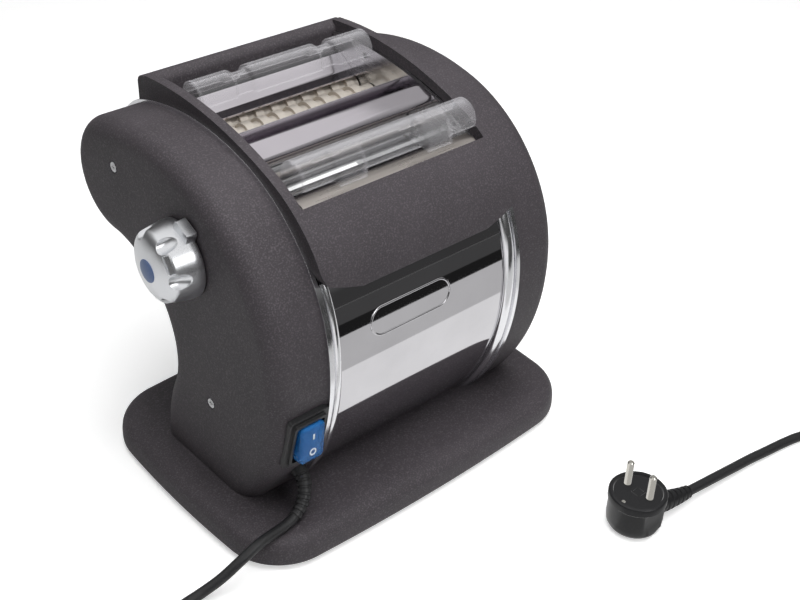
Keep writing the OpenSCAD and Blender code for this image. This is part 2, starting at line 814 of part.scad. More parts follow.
// Spur gear: a tooth's centre lies at the phase angle
module gear(at, teeth, phase, x0, bore, hub = 0) {
    rp = gear_m * teeth / 2;
    pitch = 360 / teeth;
    rim = rp - 1.25 * gear_m;
    difference() {
        union() {
            along_x(x0, x0 + gear_w) translate(at) polygon([
                for (k = [0:teeth - 1]) let (a = phase + pitch * k) each [
                    polar(rim, a - 0.29 * pitch), polar(rp, a - 0.2 * pitch),
                    polar(rp + gear_m, a - 0.1 * pitch), polar(rp + gear_m, a + 0.1 * pitch),
                    polar(rp, a + 0.2 * pitch), polar(rim, a + 0.29 * pitch)
                ]
            ]);
            if (hub > 0) rod_x(at, bore + 3, x0 + gear_w, x0 + gear_w + hub);
        }
        rod_x(at, bore, x0 - 1, x0 + gear_w + hub + 1);
        if (rim > bore + 12)
            for (k = [0:5])
                rod_x(at + polar((rim + bore + 3) / 2, phase + 60 * k), 4.5, x0 - 1, x0 + gear_w + 1);
    }
}
module front_sheet_gear() {
    color("#d8d4c8") gear(front_sheet, sheet_teeth, front_sheet_phase, train_gear_x, journal_r);
}
module rear_sheet_gear() {
    color("#d8d4c8") gear(rear_sheet, sheet_teeth, sheet_phase, train_gear_x, journal_r);
}
module front_wide_gear() {
    color("#d8d4c8") gear(front_wide, wheel_teeth, front_wide_phase, pair_gear_x, cutter_journal_r);
}
module rear_wide_gears() {
    color("#d8d4c8") for (x = [pair_gear_x, train_gear_x])
        gear(rear_wide, wheel_teeth, rear_wide_phase, x, cutter_journal_r);
}
module front_fine_gear() {
    color("#d8d4c8") gear(front_fine, wheel_teeth, front_fine_phase, pair_gear_x, cutter_journal_r);
}
module rear_fine_gears() {
    color("#d8d4c8") for (x = [pair_gear_x, train_gear_x])
        gear(rear_fine, wheel_teeth, rear_fine_phase, x, cutter_journal_r);
}
module front_idler_gear() {
    color("#e2dfd4") gear(front_idler, idler_teeth, front_idler_phase, train_gear_x, stud_r + run_clear);
}
module rear_idler_gear() {
    color("#e2dfd4") gear(rear_idler, idler_teeth, rear_idler_phase, train_gear_x, stud_r + run_clear);
}
module drive_gear() {
    color("#d8d4c8") gear(rear_sheet, drive_teeth, sheet_phase, drive_gear_x, journal_r);
}
module reduction_gear() {
    color("#e2dfd4") gear(reduction, reduction_teeth, reduction_phase, drive_gear_x, stud_r + run_clear);
}
// Shouldered stud: pressed into the plate, with a head that keeps the gear on
module stud(at, gear_x) {
    rod_x(at, stud_r - 0.5, throat_x, plate_x);
    rod_x(at, idler_shoulder_r, plate_x, gear_x - 0.1);
    rod_x(at, stud_r, gear_x - 0.1, gear_x + gear_w + 0.1);
    rod_x(at, idler_shoulder_r, gear_x + gear_w + 0.1, gear_x + gear_w + 1.1);
}
module gear_studs() {
    color("#9a9a9c") {
        stud(front_idler, train_gear_x);
        stud(rear_idler, train_gear_x);
        stud(reduction, drive_gear_x);
    }
}
module pinion_shaft() {
    color("#8f8f92") {
        gear(pinion, pinion_teeth, pinion_phase, drive_gear_x, cutter_journal_r - eps);
        rod_x(pinion, cutter_journal_r, gearbox_x + 4, drive_gear_x + gear_w + 1);
    }
}

// Motor with its gearbox, screwed to the right side plate
gearbox_x = 44;
gearbox_end = throat_x;
module gearbox() {
    color("#5a5a5e") difference() {
        union() {
            along_x(gearbox_x, gearbox_end) {
                translate(motor_axis) circle(r = motor_r + 2, $fn = 96);
                translate(pinion) circle(r = 15, $fn = 64);
                polygon([motor_axis + [-motor_r, 6], pinion + [-14.4, 4],
                         pinion + [14.4, -4], motor_axis + [motor_r, 6]]);
            }
            rod_x(pinion, 8.7, gearbox_end, plate_x);
        }
        rod_x(pinion, cutter_journal_r + run_clear, gearbox_x + 3, plate_x + 1);
    }
}
module motor() {
    color("#3c3c40") difference() {
        union() {
            rod_x(motor_axis, motor_r, -38, gearbox_x);
            rod_x(motor_axis, motor_r - 6, -44, -38);
            rod_x(motor_axis, 6, -50, -44);
        }
        for (k = [0:11]) let (p = motor_axis + polar(motor_r - 3, 30 * k))
            translate([-30, p[0], p[1]]) rotate([30 * k, 0, 0]) translate([0, -4, -2]) cube([56, 10, 4]);
    }
}

// Thickness knob on the left
knob_x = body_x + 1.1;
module knob_shaft() {
    color("#9a9a9c") {
        rod_x(knob_axis, knob_shaft_r, -knob_x - 14, -cam_x - cam_pin_len - 0.4);
        rod_x(knob_axis - cam_throw * feed_dir, cam_pin_r, -cam_x - cam_pin_len - 0.4, -cam_x - 0.6);
    }
}
// Each scoop is cut by a ring: the radius of its round, and of the circle that it runs on
knob_scoops = 6;
scoop_r = 5;
scoop_sweep = 11;
// Lowest point of a scoop, up the knob and out from its axis, and the tilt of its floor
scoop_up = 15.2;
scoop_out = 20.4;
scoop_tilt = 25;
// Index notch between two scoops, on the shoulder
notch_up = 20.2;
notch_out = 21;
notch_tilt = 51;
notch_w = 4.4;
notch_l = 12;
tab_angle = 115;
tab_w = 14;
tab_t = 7;
tab_out = 6;
scoop_angle = tab_angle + 4;
notch_angle = scoop_angle + 180 / knob_scoops;
// Puts its children on the knob at a height and a radius, turned so that y points out of a
// face with that tilt
module on_knob(angle, up, out, tilt) {
    translate([-knob_x - up, knob_axis[0], knob_axis[1]]) rotate([angle, 0, 0])
        translate([0, out, 0]) rotate([0, 0, tilt]) children();
}
module gap_knob() {
    dome_steps = 10;
    dome_angle = acos((cap_r + 0.05) / knob_face_r);
    notch_floor = 1.1;
    color("#c9cbce") difference() {
        union() {
            mirror([1, 0, 0]) lathe_x(knob_axis, concat(
                [[knob_x, 0], [knob_x, knob_r - 0.6], [knob_x + 0.6, knob_r], [knob_x + 3, knob_r]],
                [for (k = [0:dome_steps]) let (a = dome_angle * k / dome_steps)
                    [knob_x + knob_h - knob_dome * (1 - sin(a) / sin(dome_angle)), knob_face_r * cos(a)]],
                [[knob_x + knob_h - 2, cap_r + 0.05], [knob_x + knob_h - 2, 0]]
            ));
            on_knob(tab_angle, tab_t, knob_r - 5, 0)
                translate([0, 0, -tab_w / 2]) cube([tab_t, tab_out + 5, tab_w]);
        }
        for (k = [0:knob_scoops - 1])
            on_knob(scoop_angle + 360 / knob_scoops * k, scoop_up, scoop_out, scoop_tilt)
                translate([0, scoop_sweep + scoop_r, 0])
                    rotate_extrude($fn = 72) translate([scoop_sweep, 0]) circle(r = scoop_r, $fn = 32);
        on_knob(notch_angle, notch_up, notch_out, notch_tilt)
            translate([-notch_w / 2, -notch_floor, -notch_l / 2]) cube([notch_w, 4, notch_l]);
        rod_x(knob_axis, knob_shaft_r, -knob_x - 14, -knob_x + 1);
    }
}
module knob_cap() {
    color("#5f79a5") {
        rod_x(knob_axis, cap_r, -knob_x - knob_h - 0.4 - eps, -knob_x - knob_h + 2);
        mirror([1, 0, 0]) lathe_x(knob_axis, [
            [knob_x + knob_h + 0.4, 0], [knob_x + knob_h + 0.4, cap_r - 0.3],
            [knob_x + knob_h + 1, cap_r * 0.7], [knob_x + knob_h + 1.3, 0]
        ]);
    }
}

// Rocker switch on the front of the left housing
switch_angle = 193.5;
switch_x = 23.5 - body_x;
switch_body_w = 22;
switch_body_h = 34;
bezel_t = 2.4;
bezel_seat = 1.5;
bezel_corner = 2.5;
bezel_step = 2.2;
rocker_tilt = -8;
rocker_pivot = 4;
pivot_r = 1.5;
pivot_len = 21;
boot_wall = 1.4;
boot_h = 9.5;
module upright(y0, y1) {
    translate([0, y1, 0]) rotate([90, 0, 0]) linear_extrude(y1 - y0) children();
}
module switch_bezel() {
    color("#161618") front_frame(switch_angle, switch_x) difference() {
        union() {
            upright(-bezel_t, bezel_seat) round_rect(bezel_w, bezel_h, bezel_corner);
            upright(-bezel_t - bezel_step, -bezel_t) round_rect(bezel_w - 5, bezel_h - 6, bezel_corner);
        }
        upright(-20, 5) round_rect(rocker_w + 6, rocker_h + 7, 2);
    }
}
module switch_body() {
    color("#202022") front_frame(switch_angle, switch_x) difference() {
        union() {
            upright(bezel_seat, 24) round_rect(switch_body_w - 0.6, switch_body_h - 0.6, 1.5);
            for (z = [-8, 0, 8]) translate([-3, 24, z - 0.4]) cube([6, 8, 0.8]);
        }
        upright(-1, 14) round_rect(rocker_w + 4.5, rocker_h + 5.4, 1.5);
        translate([-switch_body_w, rocker_pivot, 0]) rotate([0, 90, 0])
            cylinder(r = pivot_r + run_clear, h = 2 * switch_body_w, $fn = 32);
    }
}
module rocker_place() {
    front_frame(switch_angle, switch_x) translate([0, rocker_pivot, 0]) rotate([rocker_tilt, 0, 0])
        translate([0, -rocker_pivot, 0]) children();
}
module switch_rocker() {
    color("#1467b8") rocker_place() {
        translate([-rocker_w / 2, 0, 0]) rotate([90, 0, 90]) linear_extrude(rocker_w) polygon([
            [6, -rocker_h / 4], [-boot_h + 3.4, -rocker_h / 2], [-boot_h + 4.6, 0],
            [-boot_h + 3.4, rocker_h / 2], [6, rocker_h / 4]
        ]);
        translate([-pivot_len / 2, rocker_pivot, 0]) rotate([0, 90, 0])
            cylinder(r = pivot_r, h = pivot_len, $fn = 32);
    }
}
module switch_boot() {
    color([0.1, 0.35, 0.75, 0.6]) rocker_place() difference() {
        union() {
            upright(-boot_h + 1.5, -bezel_t - 0.2) round_rect(rocker_w + 4, rocker_h + 4, 3.5);
            upright(-boot_h, -boot_h + 1.5) round_rect(rocker_w + 2.6, rocker_h + 2.6, 3);
        }
        upright(-boot_h + boot_wall, 0) round_rect(rocker_w + 0.6, rocker_h + 0.6, 1.5);
    }
}

// Leads inside the left housing, from the cord gland up to the switch
wire_r = 1.5;
wire_start = [-57, 55.5];
wire_end = [-59.9, 78.3];
module internal_leads() {
    color("#2f5fa0") for (x = [outlet_x - 4.5, outlet_x + 0.5])
        translate([x, wire_start[0], wire_start[1]])
            rotate([atan2(wire_start[0] - wire_end[0], wire_end[1] - wire_start[1]), 0, 0])
                cylinder(r = wire_r, h = norm(wire_end - wire_start), $fn = 32);
}

// Mains lead
outlet_angle = 208;
outlet_x = -92;
outlet_r = 6.5;
gland_r = 10;
relief_r = 5.4;
module outlet_place() {
    front_frame(outlet_angle, outlet_x) rotate([90, 0, 0]) children();
}
// Tube with round sides along points, with one radius for each point
function unit(v) = v / norm(v);
function way(p, i) = unit(p[min(i + 1, len(p) - 1)] - p[max(i - 1, 0)]);
module sweep_tube(p, radii, sides) {
    rings = [for (i = [0:len(p) - 1])
        let (t = way(p, i), s = unit(cross(t, [0, 0, 1])), u = cross(s, t))
            for (k = [0:sides - 1]) let (a = 360 * k / sides) p[i] + radii[i] * (cos(a) * s + sin(a) * u)];
    n = len(p) - 1;
    polyhedron(
        points = rings,
        faces = concat(
            [[for (k = [sides - 1:-1:0]) k]],
            [[for (k = [0:sides - 1]) n * sides + k]],
            [for (i = [0:n - 1], k = [0:sides - 1]) let (j = (k + 1) % sides)
                [i * sides + k, i * sides + j, (i + 1) * sides + j, (i + 1) * sides + k]]
        )
    );
}
// Route of the lead from the housing to the coil, and from the coil to the plug
lead_points = [
    [-92.4, -72.3, 46], [-94.9, -77.3, 41.2], [-98.3, -80.5, 36.4], [-103.7, -83, 31.8],
    [-111, -84.6, 28.7], [-120, -85.5, 27.3], [-130, -86.1, 27.2], [-140, -87, 26.4],
    [-153, -87.4, 21.9], [-167, -85.2, 13.5], [-180, -82, 7], [-194, -80.6, 3.8],
    [-207, -84, 3.5], [-218, -92.5, 3.5], [-224.5, -105, 3.5], [-225.5, -121, 3.5],
    [-222.5, -140, 3.5], [-217.5, -161, 3.5], [-210.5, -182, 3.5], [-203, -201.5, 3.5]
];
tail_points = [
    [-175, -232, 10.5], [-153, -242, 7], [-130, -251.5, 3.5], [-95, -264.5, 3.5],
    [-60, -276.5, 3.5], [-30, -288, 3.5], [0, -299.5, 3.5], [25, -309, 3.5],
    [50, -318.5, 3.5], [75, -327, 3.5], [100, -333.5, 3.5], [125, -337, 3.5],
    [150, -338.5, 3.5], [175, -339, 3.5], [198, -339, 3.5], [218, -338.8, 3.5],
    [236, -338, 3.5], [253.4, -334.9, 3.5], [268.8, -326.1, 3.5], [280.2, -312.5, 3.5],
    [286.2, -295.9, 3.5], [286.2, -278.1, 3.5], [280.2, -261.5, 3.5], [269.8, -249, 3.5],
    [256.7, -240.4, 3.5], [243.2, -235.2, 3.5], [228, -232, 3.6], [210, -229.5, 4],
    [193, -227.5, 5], [175, -226, 6], [160, -225, 7.3], [145, -224, 8.5],
    [126, -222.5, 9.8]
];
relief_rings = 4;
coil_at = [-160, -190];
coil_in = 34;
coil_out = 48;
cord_sides = 10;
function tail_of(v, n) = [for (i = [n:len(v) - 1]) v[i]];
module strain_relief() {
    color("#1d1d1f") {
        outlet_place() {
            translate([0, 0, -10]) cylinder(r = outlet_r - 0.1, h = 10, $fn = 48);
            cylinder(r1 = gland_r, r2 = gland_r - 1.5, h = 2.2, $fn = 48);
        }
        sweep_tube([[-92, -66.5, 50], for (i = [0:relief_rings - 1]) lead_points[i]],
            [relief_r, relief_r, relief_r - 0.4, relief_r - 0.8, relief_r - 1.2], 16);
    }
}
module cord_lead() {
    p = tail_of(lead_points, relief_rings - 1);
    color("#242427") sweep_tube(p, [for (q = p) cord_d / 2], cord_sides);
}
module cord_tail() {
    color("#242427") sweep_tube(tail_points, [for (q = tail_points) cord_d / 2], cord_sides);
}
module cord_coil() {
    color("#242427") translate(coil_at) rotate_extrude($fn = 96)
        translate([coil_in, 0]) square([coil_out - coil_in, 2 * cord_d]);
}
tie_w = 9;
tie_t = 1.2;
module coil_tie() {
    mid = (coil_in + coil_out) / 2;
    wide = coil_out - coil_in + 2 * tie_t;
    color("#2d2d30") translate(coil_at) rotate(-60) difference() {
        translate([mid - wide / 2, -tie_w / 2, 0]) cube([wide, tie_w, 2 * cord_d + tie_t]);
        rotate_extrude($fn = 96) translate([coil_in, -1]) square([coil_out - coil_in, 2 * cord_d + 1]);
    }
}

// Angled mains plug, lying on its back with the pins up
plug_at = [82, -212];
module plug_pins() {
    color("#b9b4a6") translate(plug_at) for (s = [-1, 1])
        translate([0, s * pin_pitch / 2, plug_h]) {
            cylinder(r = pin_r, h = pin_len - 1, $fn = 48);
            translate([0, 0, pin_len - 1]) cylinder(r1 = pin_r, r2 = pin_r - 0.9, h = 1, $fn = 48);
        }
}
module plug_body() {
    color("#1d1d1f") {
        translate(plug_at) {
            rotate_extrude($fn = 96) polygon([
                [0, 0], [plug_r - 7, 0], [plug_r - 3, 2], [plug_r - 1, 6], [plug_r - 1, plug_h - 7],
                [plug_r, plug_h - 6], [plug_r, plug_h - 1], [plug_r - 1, plug_h], [0, plug_h]
            ]);
        }
        sweep_tube([
            [90, -214.5, 13.5], [100, -218, 12.5], [108, -219.8, 11.6],
            [117, -221.4, 10.6], [126, -222.5, 9.8]
        ], [9.5, 9, 7, 5.6, 4.6], 16);
    }
}

// The side view is drawn from the base's middle, and the part stands on its own middle
side_centre = 14.6;
module centred() {
    translate([0, -side_centre, 0]) children();
}

centred() base_plate();
centred() base_cover();
centred() rubber_feet();
centred() left_housing();
centred() right_housing();
centred() housing_screws();
centred() housing_posts();
centred() left_side_plate();
centred() right_side_plate();
centred() left_edge_strip();
centred() right_edge_strip();
centred() tie_rods();
centred() front_panel();
centred() rear_panel();
centred() hood_frame();
centred() front_guard();
centred() rear_guard();
centred() front_feed_plate();
centred() middle_feed_plate();
centred() rear_feed_plates();
centred() front_sheet_roller();
centred() rear_sheet_roller();
centred() front_wide_cutter();
centred() rear_wide_cutter();
centred() front_fine_cutter();
centred() rear_fine_cutter();
centred() sheet_scrapers();
centred() wide_cutter_combs();
centred() fine_cutter_combs();
centred() shaft_bushes();
centred() bearing_blocks();
centred() front_sheet_gear();
centred() rear_sheet_gear();
centred() front_wide_gear();
centred() rear_wide_gears();
centred() front_fine_gear();
centred() rear_fine_gears();
centred() front_idler_gear();
centred() rear_idler_gear();
centred() drive_gear();
centred() reduction_gear();
centred() gear_studs();
centred() pinion_shaft();
centred() gearbox();
centred() motor();
centred() knob_shaft();
centred() gap_knob();
centred() knob_cap();
centred() switch_bezel();
centred() switch_body();
centred() switch_rocker();
centred() switch_boot();
centred() internal_leads();
centred() strain_relief();
centred() cord_lead();
centred() cord_coil();
centred() cord_tail();
centred() coil_tie();
centred() plug_body();
centred() plug_pins();
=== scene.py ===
"""Electric pasta maker: its visible pieces and finishes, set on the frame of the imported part.

Each section builds one piece. Sizes are in millimetres, in the part's side view: X to the
right, Y to the back from the middle of the base, Z up. metres() turns them into metres.
"""
import json
import math

import bmesh
import bpy
import numpy as np
from mathutils import Matrix, Vector

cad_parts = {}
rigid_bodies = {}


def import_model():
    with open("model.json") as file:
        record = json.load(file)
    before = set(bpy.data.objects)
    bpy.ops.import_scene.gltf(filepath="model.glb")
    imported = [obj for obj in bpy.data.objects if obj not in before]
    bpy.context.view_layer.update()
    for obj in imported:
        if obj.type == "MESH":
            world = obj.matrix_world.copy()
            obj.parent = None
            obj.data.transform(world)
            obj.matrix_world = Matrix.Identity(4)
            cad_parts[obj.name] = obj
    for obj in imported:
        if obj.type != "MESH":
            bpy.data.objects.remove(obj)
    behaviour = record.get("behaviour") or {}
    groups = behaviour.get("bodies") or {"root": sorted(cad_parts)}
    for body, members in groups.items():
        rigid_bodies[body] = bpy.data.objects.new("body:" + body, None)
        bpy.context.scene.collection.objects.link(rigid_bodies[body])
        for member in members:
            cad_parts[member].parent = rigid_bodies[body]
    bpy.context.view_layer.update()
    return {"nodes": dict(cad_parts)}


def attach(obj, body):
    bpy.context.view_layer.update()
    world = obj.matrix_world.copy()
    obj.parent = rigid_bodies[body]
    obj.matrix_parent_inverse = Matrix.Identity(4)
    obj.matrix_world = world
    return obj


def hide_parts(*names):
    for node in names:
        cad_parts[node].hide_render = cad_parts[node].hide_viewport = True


for leftover in list(bpy.data.objects):
    bpy.data.objects.remove(leftover)
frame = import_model()
scene = bpy.context.scene
scene.view_settings.view_transform = "Standard"

# ------------------------------ camera
# A slightly long lens looks from the front left, a little over the top of the machine.
# The part stands on its own middle, which lies behind the middle of its base.
MIDDLE = np.array([0.0, 14.6, 0.0])
AZIMUTH, ELEVATION, ROLL = -42.37, 34.43, 1.75
TARGET = np.array([28.43, -28.68, 110.0])
DISTANCE = 869.08
LENS = 56.09


def into_scene(name, data):
    """A new object in the scene that carries a mesh, a camera or a lamp."""
    made = bpy.data.objects.new(name, data)
    scene.collection.objects.link(made)
    return made


def metres(points):
    """Points of the side view in millimetres, moved to the part's middle and put in metres."""
    return (np.asarray(points, float) - MIDDLE) / 1000.0


def place_camera():
    """The camera's axes: back points at it from the target, right and up are turned about
    back by the roll."""
    a, e, r = np.radians([AZIMUTH, ELEVATION, ROLL])
    back = np.array([math.sin(a) * math.cos(e), -math.cos(a) * math.cos(e), math.sin(e)])
    level = np.array([math.cos(a), math.sin(a), 0.0])
    upright = np.cross(back, level)
    right = level * math.cos(r) + upright * math.sin(r)
    up = upright * math.cos(r) - level * math.sin(r)
    data = bpy.data.cameras.new("camera")
    data.lens = LENS
    data.sensor_width = 36.0
    data.clip_start = 0.01
    data.clip_end = 50.0
    camera = into_scene("camera", data)
    rows = np.column_stack([right, up, back, metres(TARGET + DISTANCE * back)]).tolist()
    camera.matrix_world = Matrix(rows + [[0, 0, 0, 1]])
    scene.camera = camera


place_camera()

# ------------------------------ mains lead
# A round black rubber lead: out of the switch housing, over the base plate and away to a
# coil on the table, then round to the plug. It is one tube, with the wound part in its run.
CORD_D = 7.0
EXIT = (-92, -66.5, 50)
LEAD = [
    (-92.4, -72.3, 46), (-94.9, -77.3, 41.2), (-98.3, -80.5, 36.4), (-103.7, -83, 31.8),
    (-111, -84.6, 28.7), (-120, -85.5, 27.3), (-130, -86.1, 27.2), (-140, -87, 26.4),
    (-153, -87.4, 21.9), (-167, -85.2, 13.5), (-180, -82, 7), (-194, -80.6, 3.8),
    (-207, -84, 3.5), (-218, -92.5, 3.5), (-224.5, -105, 3.5), (-225.5, -121, 3.5),
    (-222.5, -140, 3.5), (-217.5, -161, 3.5), (-210.5, -182, 3.5), (-203, -201.5, 3.5),
]
TAIL = [
    (-175, -232, 10.5), (-153, -242, 7), (-130, -251.5, 3.5), (-95, -264.5, 3.5),
    (-60, -276.5, 3.5), (-30, -288, 3.5), (0, -299.5, 3.5), (25, -309, 3.5),
    (50, -318.5, 3.5), (75, -327, 3.5), (100, -333.5, 3.5), (125, -337, 3.5),
    (150, -338.5, 3.5), (175, -339, 3.5), (198, -339, 3.5), (218, -338.8, 3.5),
    (236, -338, 3.5), (253.4, -334.9, 3.5), (268.8, -326.1, 3.5), (280.2, -312.5, 3.5),
    (286.2, -295.9, 3.5), (286.2, -278.1, 3.5), (280.2, -261.5, 3.5), (269.8, -249, 3.5),
    (256.7, -240.4, 3.5), (243.2, -235.2, 3.5), (228, -232, 3.6), (210, -229.5, 4),
    (193, -227.5, 5), (175, -226, 6), (160, -225, 7.3), (145, -224, 8.5),
    (126, -222.5, 9.8),
]
COIL_AT = np.array([-160.0, -190.0])


def smooth_faces(mesh, crease):
    """Smooth shading, but for the edges sharper than crease degrees."""
    mesh.shade_smooth()
    mesh.set_sharp_from_angle(angle=math.radians(crease))


def finish_piece(name, mesh, material, stands_for, body, crease, bevel, segments=2):
    """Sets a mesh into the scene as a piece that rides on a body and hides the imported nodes
    that it stands for. Its edges sharper than crease degrees get a bevel of that width."""
    smooth_faces(mesh, crease)
    mesh.materials.clear()
    mesh.materials.append(material)
    piece = into_scene(name, mesh)
    if bevel:
        round_edges(piece, bevel, crease, segments)
    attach(piece, body)
    if stands_for:
        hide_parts(*stands_for)
    return piece


def new_mesh(name, solid):
    """A mesh from points in millimetres and faces as lists of corner numbers."""
    points, faces = solid
    mesh = bpy.data.meshes.new(name)
    mesh.from_pydata(metres(points).tolist(), [], faces)
    return mesh


def put_mesh(name, solid, material, stands_for=(), body="frame", crease=35.0, bevel=0.0,
             segments=2):
    """A finished piece from the points and faces of a solid."""
    mesh = new_mesh(name, solid)
    mesh.validate()
    return finish_piece(name, mesh, material, stands_for, body, crease, bevel, segments)


def round_edges(piece, width, crease=35.0, segments=2):
    """A bevel in millimetres on the edges sharper than crease, with the faces' own normals."""
    rounding = piece.modifiers.new("rounding", "BEVEL")
    rounding.width = width / 1000.0
    rounding.segments = segments
    rounding.limit_method = "ANGLE"
    rounding.angle_limit = math.radians(crease)
    rounding.harden_normals = True
    rounding.miter_outer = "MITER_ARC"


def grid_faces(rows, cols, close_rows=False):
    """Corner numbers of the quads between rows rings of cols points each. The last ring is
    joined to the first where the rows are closed."""
    r, c = np.meshgrid(np.arange(rows if close_rows else rows - 1), np.arange(cols),
                       indexing="ij")
    below, beside = (r + 1) % rows, (c + 1) % cols
    quads = [r * cols + c, r * cols + beside, below * cols + beside, below * cols + c]
    return np.stack(quads, -1).reshape(-1, 4).tolist()


def stack_rings(rings):
    """A solid from rings with equal numbers of points, each joined to the next, and the
    first and the last of them closed."""
    cols, last = len(rings[0]), (len(rings) - 1) * len(rings[0])
    ends = [list(range(cols))[::-1], list(range(last, last + cols))]
    return np.vstack(rings), grid_faces(len(rings), cols) + ends


def unit(degrees):
    """Directions at those angles, as rows of cos and sin."""
    a = np.radians(degrees)
    return np.stack([np.cos(a), np.sin(a)], 1)


def circle(count):
    """Directions all the way round, in equal steps."""
    return unit(np.linspace(0, 360, count, endpoint=False))


def travelled(path):
    """How far along the path each of its points lies."""
    return np.append(0, np.cumsum(np.linalg.norm(np.diff(path, axis=0), axis=1)))


def smooth_path(points, spacing):
    """A Catmull-Rom curve through the points, then points at equal steps along it."""
    p = np.asarray(points, float)
    p = np.vstack([2 * p[0] - p[1], p, 2 * p[-1] - p[-2]])
    t = np.linspace(0, 1, 24, endpoint=False)[:, None]
    runs = []
    for k in range(1, len(p) - 2):
        a, b, c, d = p[k - 1:k + 3]
        runs.append(0.5 * (2 * b + (c - a) * t + (2 * a - 5 * b + 4 * c - d) * t ** 2
                           + (3 * b - a - 3 * c + d) * t ** 3))
    fine = np.vstack(runs + [p[-2:-1]])
    along = travelled(fine)
    steps = np.linspace(0, along[-1], max(2, round(along[-1] / spacing) + 1))
    return np.stack([np.interp(steps, along, fine[:, k]) for k in range(3)], 1)


def tube(path, radius, sides):
    """Rings of the radius round each point of the path: side is level, lift is square to it
    and to the path, and ring = point + radius (cos side + sin lift). Both ends are closed."""
    p = np.asarray(path, float)
    way = np.gradient(p, axis=0)
    way /= np.linalg.norm(way, axis=1, keepdims=True)
    side = np.cross(way, [0.0, 0.0, 1.0])
    side /= np.linalg.norm(side, axis=1, keepdims=True)
    lift = np.cross(side, way)
    cos_a, sin_a = circle(sides).T[:, :, None]
    r = np.broadcast_to(np.asarray(radius, float), len(p))[:, None, None]
    return stack_rings(p[:, None] + r * (cos_a * side[:, None] + sin_a * lift[:, None]))


def coil_turns():
    """The wound part: an arc about the coil's middle, whose radius eases between the two
    columns and whose height eases between the two layers. Three turns and a bit."""
    start, turn = 195.0, 360.0
    angle = np.linspace(start, start + 3 * turn + 55.0, 64)
    done = (angle - start) / turn
    # Outer low, inner low, inner high, outer high: each move is made clear of the turn below
    radius = np.interp(done, [0.8, 1.0, 2.3, 2.55], [44.5, 37.5, 37.5, 44.5])
    height = np.interp(done, [1.55, 1.8], [3.5, 10.5])
    return np.column_stack([COIL_AT + radius[:, None] * unit(angle), height])


def group(name, inputs, outputs):
    """An empty shader group, as its tree, what it is given by name, and the node that its
    results go to. Each socket is a name and a kind: Float, Color or Vector."""
    tree = bpy.data.node_groups.new(name, "ShaderNodeTree")
    for way, sockets in (("INPUT", inputs), ("OUTPUT", outputs)):
        for label, kind in sockets.items():
            tree.interface.new_socket(label, in_out=way, socket_type="NodeSocket" + kind)
    return tree, tree.nodes.new("NodeGroupInput").outputs, tree.nodes.new("NodeGroupOutput")


def feed(made, **values):
    """Sets a node's inputs by name, n0 being the first of them, or links them where the
    value is another node's output."""
    for label, value in values.items():
        numbered = label[0] == "n" and label[1:].isdigit()
        socket = made.inputs[int(label[1:]) if numbered else label.replace("_", " ")]
        if isinstance(value, bpy.types.NodeSocket):
            made.id_data.links.new(value, socket)
        else:
            socket.default_value = value
    return made


def node(tree, kind, settings=None, **values):
    """A new node of that kind with its settings and its inputs."""
    made = tree.nodes.new("ShaderNode" + kind)
    for label, value in (settings or {}).items():
        setattr(made, label, value)
    return feed(made, **values)


def surface_place(tree):
    """Where on its object a point of the surface lies."""
    return node(tree, "TexCoord").outputs["Object"]


def noise(tree, place, scale, detail):
    """Smooth noise with that many waves to the metre."""
    return node(tree, "TexNoise", Vector=place, Scale=scale, Detail=detail).outputs["Fac"]


def remap(tree, value, low, high, to_low, to_high):
    """The value, with its range from low to high brought to another and held within it."""
    return node(tree, "MapRange", n0=value, n1=low, n2=high, n3=to_low, n4=to_high).outputs[0]


def maths(tree, operation, *values):
    """The result of one operation on those values."""
    values = {f"n{k}": value for k, value in enumerate(values)}
    return node(tree, "Math", {"operation": operation}, **values).outputs[0]


def toned(tree, colour, factor):
    """A colour times a number."""
    return node(tree, "VectorMath", {"operation": "SCALE"}, n0=colour, Scale=factor).outputs[0]


def blended(tree, share, first, second):
    """The first colour where the share is 0 and the second where it is 1."""
    return node(tree, "Mix", {"data_type": "RGBA"}, n0=share, n6=first, n7=second).outputs[2]


def make_grain():
    """Flecks and fine relief of a moulded or sprayed surface: noise of the fleck size, cut
    at a level, tints the base, and finer noise gives the height."""
    tree, given, out = group(
        "surface_grain",
        {"Base": "Color", "Fleck": "Color", "Fine": "Float", "Amount": "Float"},
        {"Color": "Color", "Height": "Float"},
    )
    place = surface_place(tree)
    flecks = remap(tree, noise(tree, place, given["Fine"], 2.0), 0.5, 0.72, 0.0, 1.0)
    amount = maths(tree, "MULTIPLY", flecks, given["Amount"])
    clouds = remap(tree, noise(tree, place, 22.0, 3.0), 0.3, 0.7, 0.9, 1.1)
    base = toned(tree, given["Base"], clouds)
    finer = maths(tree, "MULTIPLY", given["Fine"], 1.7)
    feed(out, Color=blended(tree, amount, base, given["Fleck"]),
         Height=noise(tree, place, finer, 3.0))
    return tree


GRAIN = make_grain()


def new_material(name, **plain):
    """A material, its node tree and its shader, with plain values on the shader's sockets."""
    material = bpy.data.materials.new(name)
    material.use_nodes = True
    tree = material.node_tree
    return material, tree, feed(tree.nodes["Principled BSDF"], **plain)


def patterned(name, pattern, relief, plain, **given):
    """A material in which a group, placed with its given values, feeds the colour, the
    roughness where it has one, and a relief of that many millimetres."""
    material, tree, shader = new_material(name, **plain)
    made = node(tree, "Group", {"node_tree": pattern}, **given).outputs
    if "Roughness" in made:
        feed(shader, Roughness=made["Roughness"])
    bump = node(tree, "Bump", Height=made["Height"], Strength=1.0, Distance=relief / 1000.0)
    feed(shader, Base_Color=made["Color"], Normal=bump.outputs["Normal"])
    return material


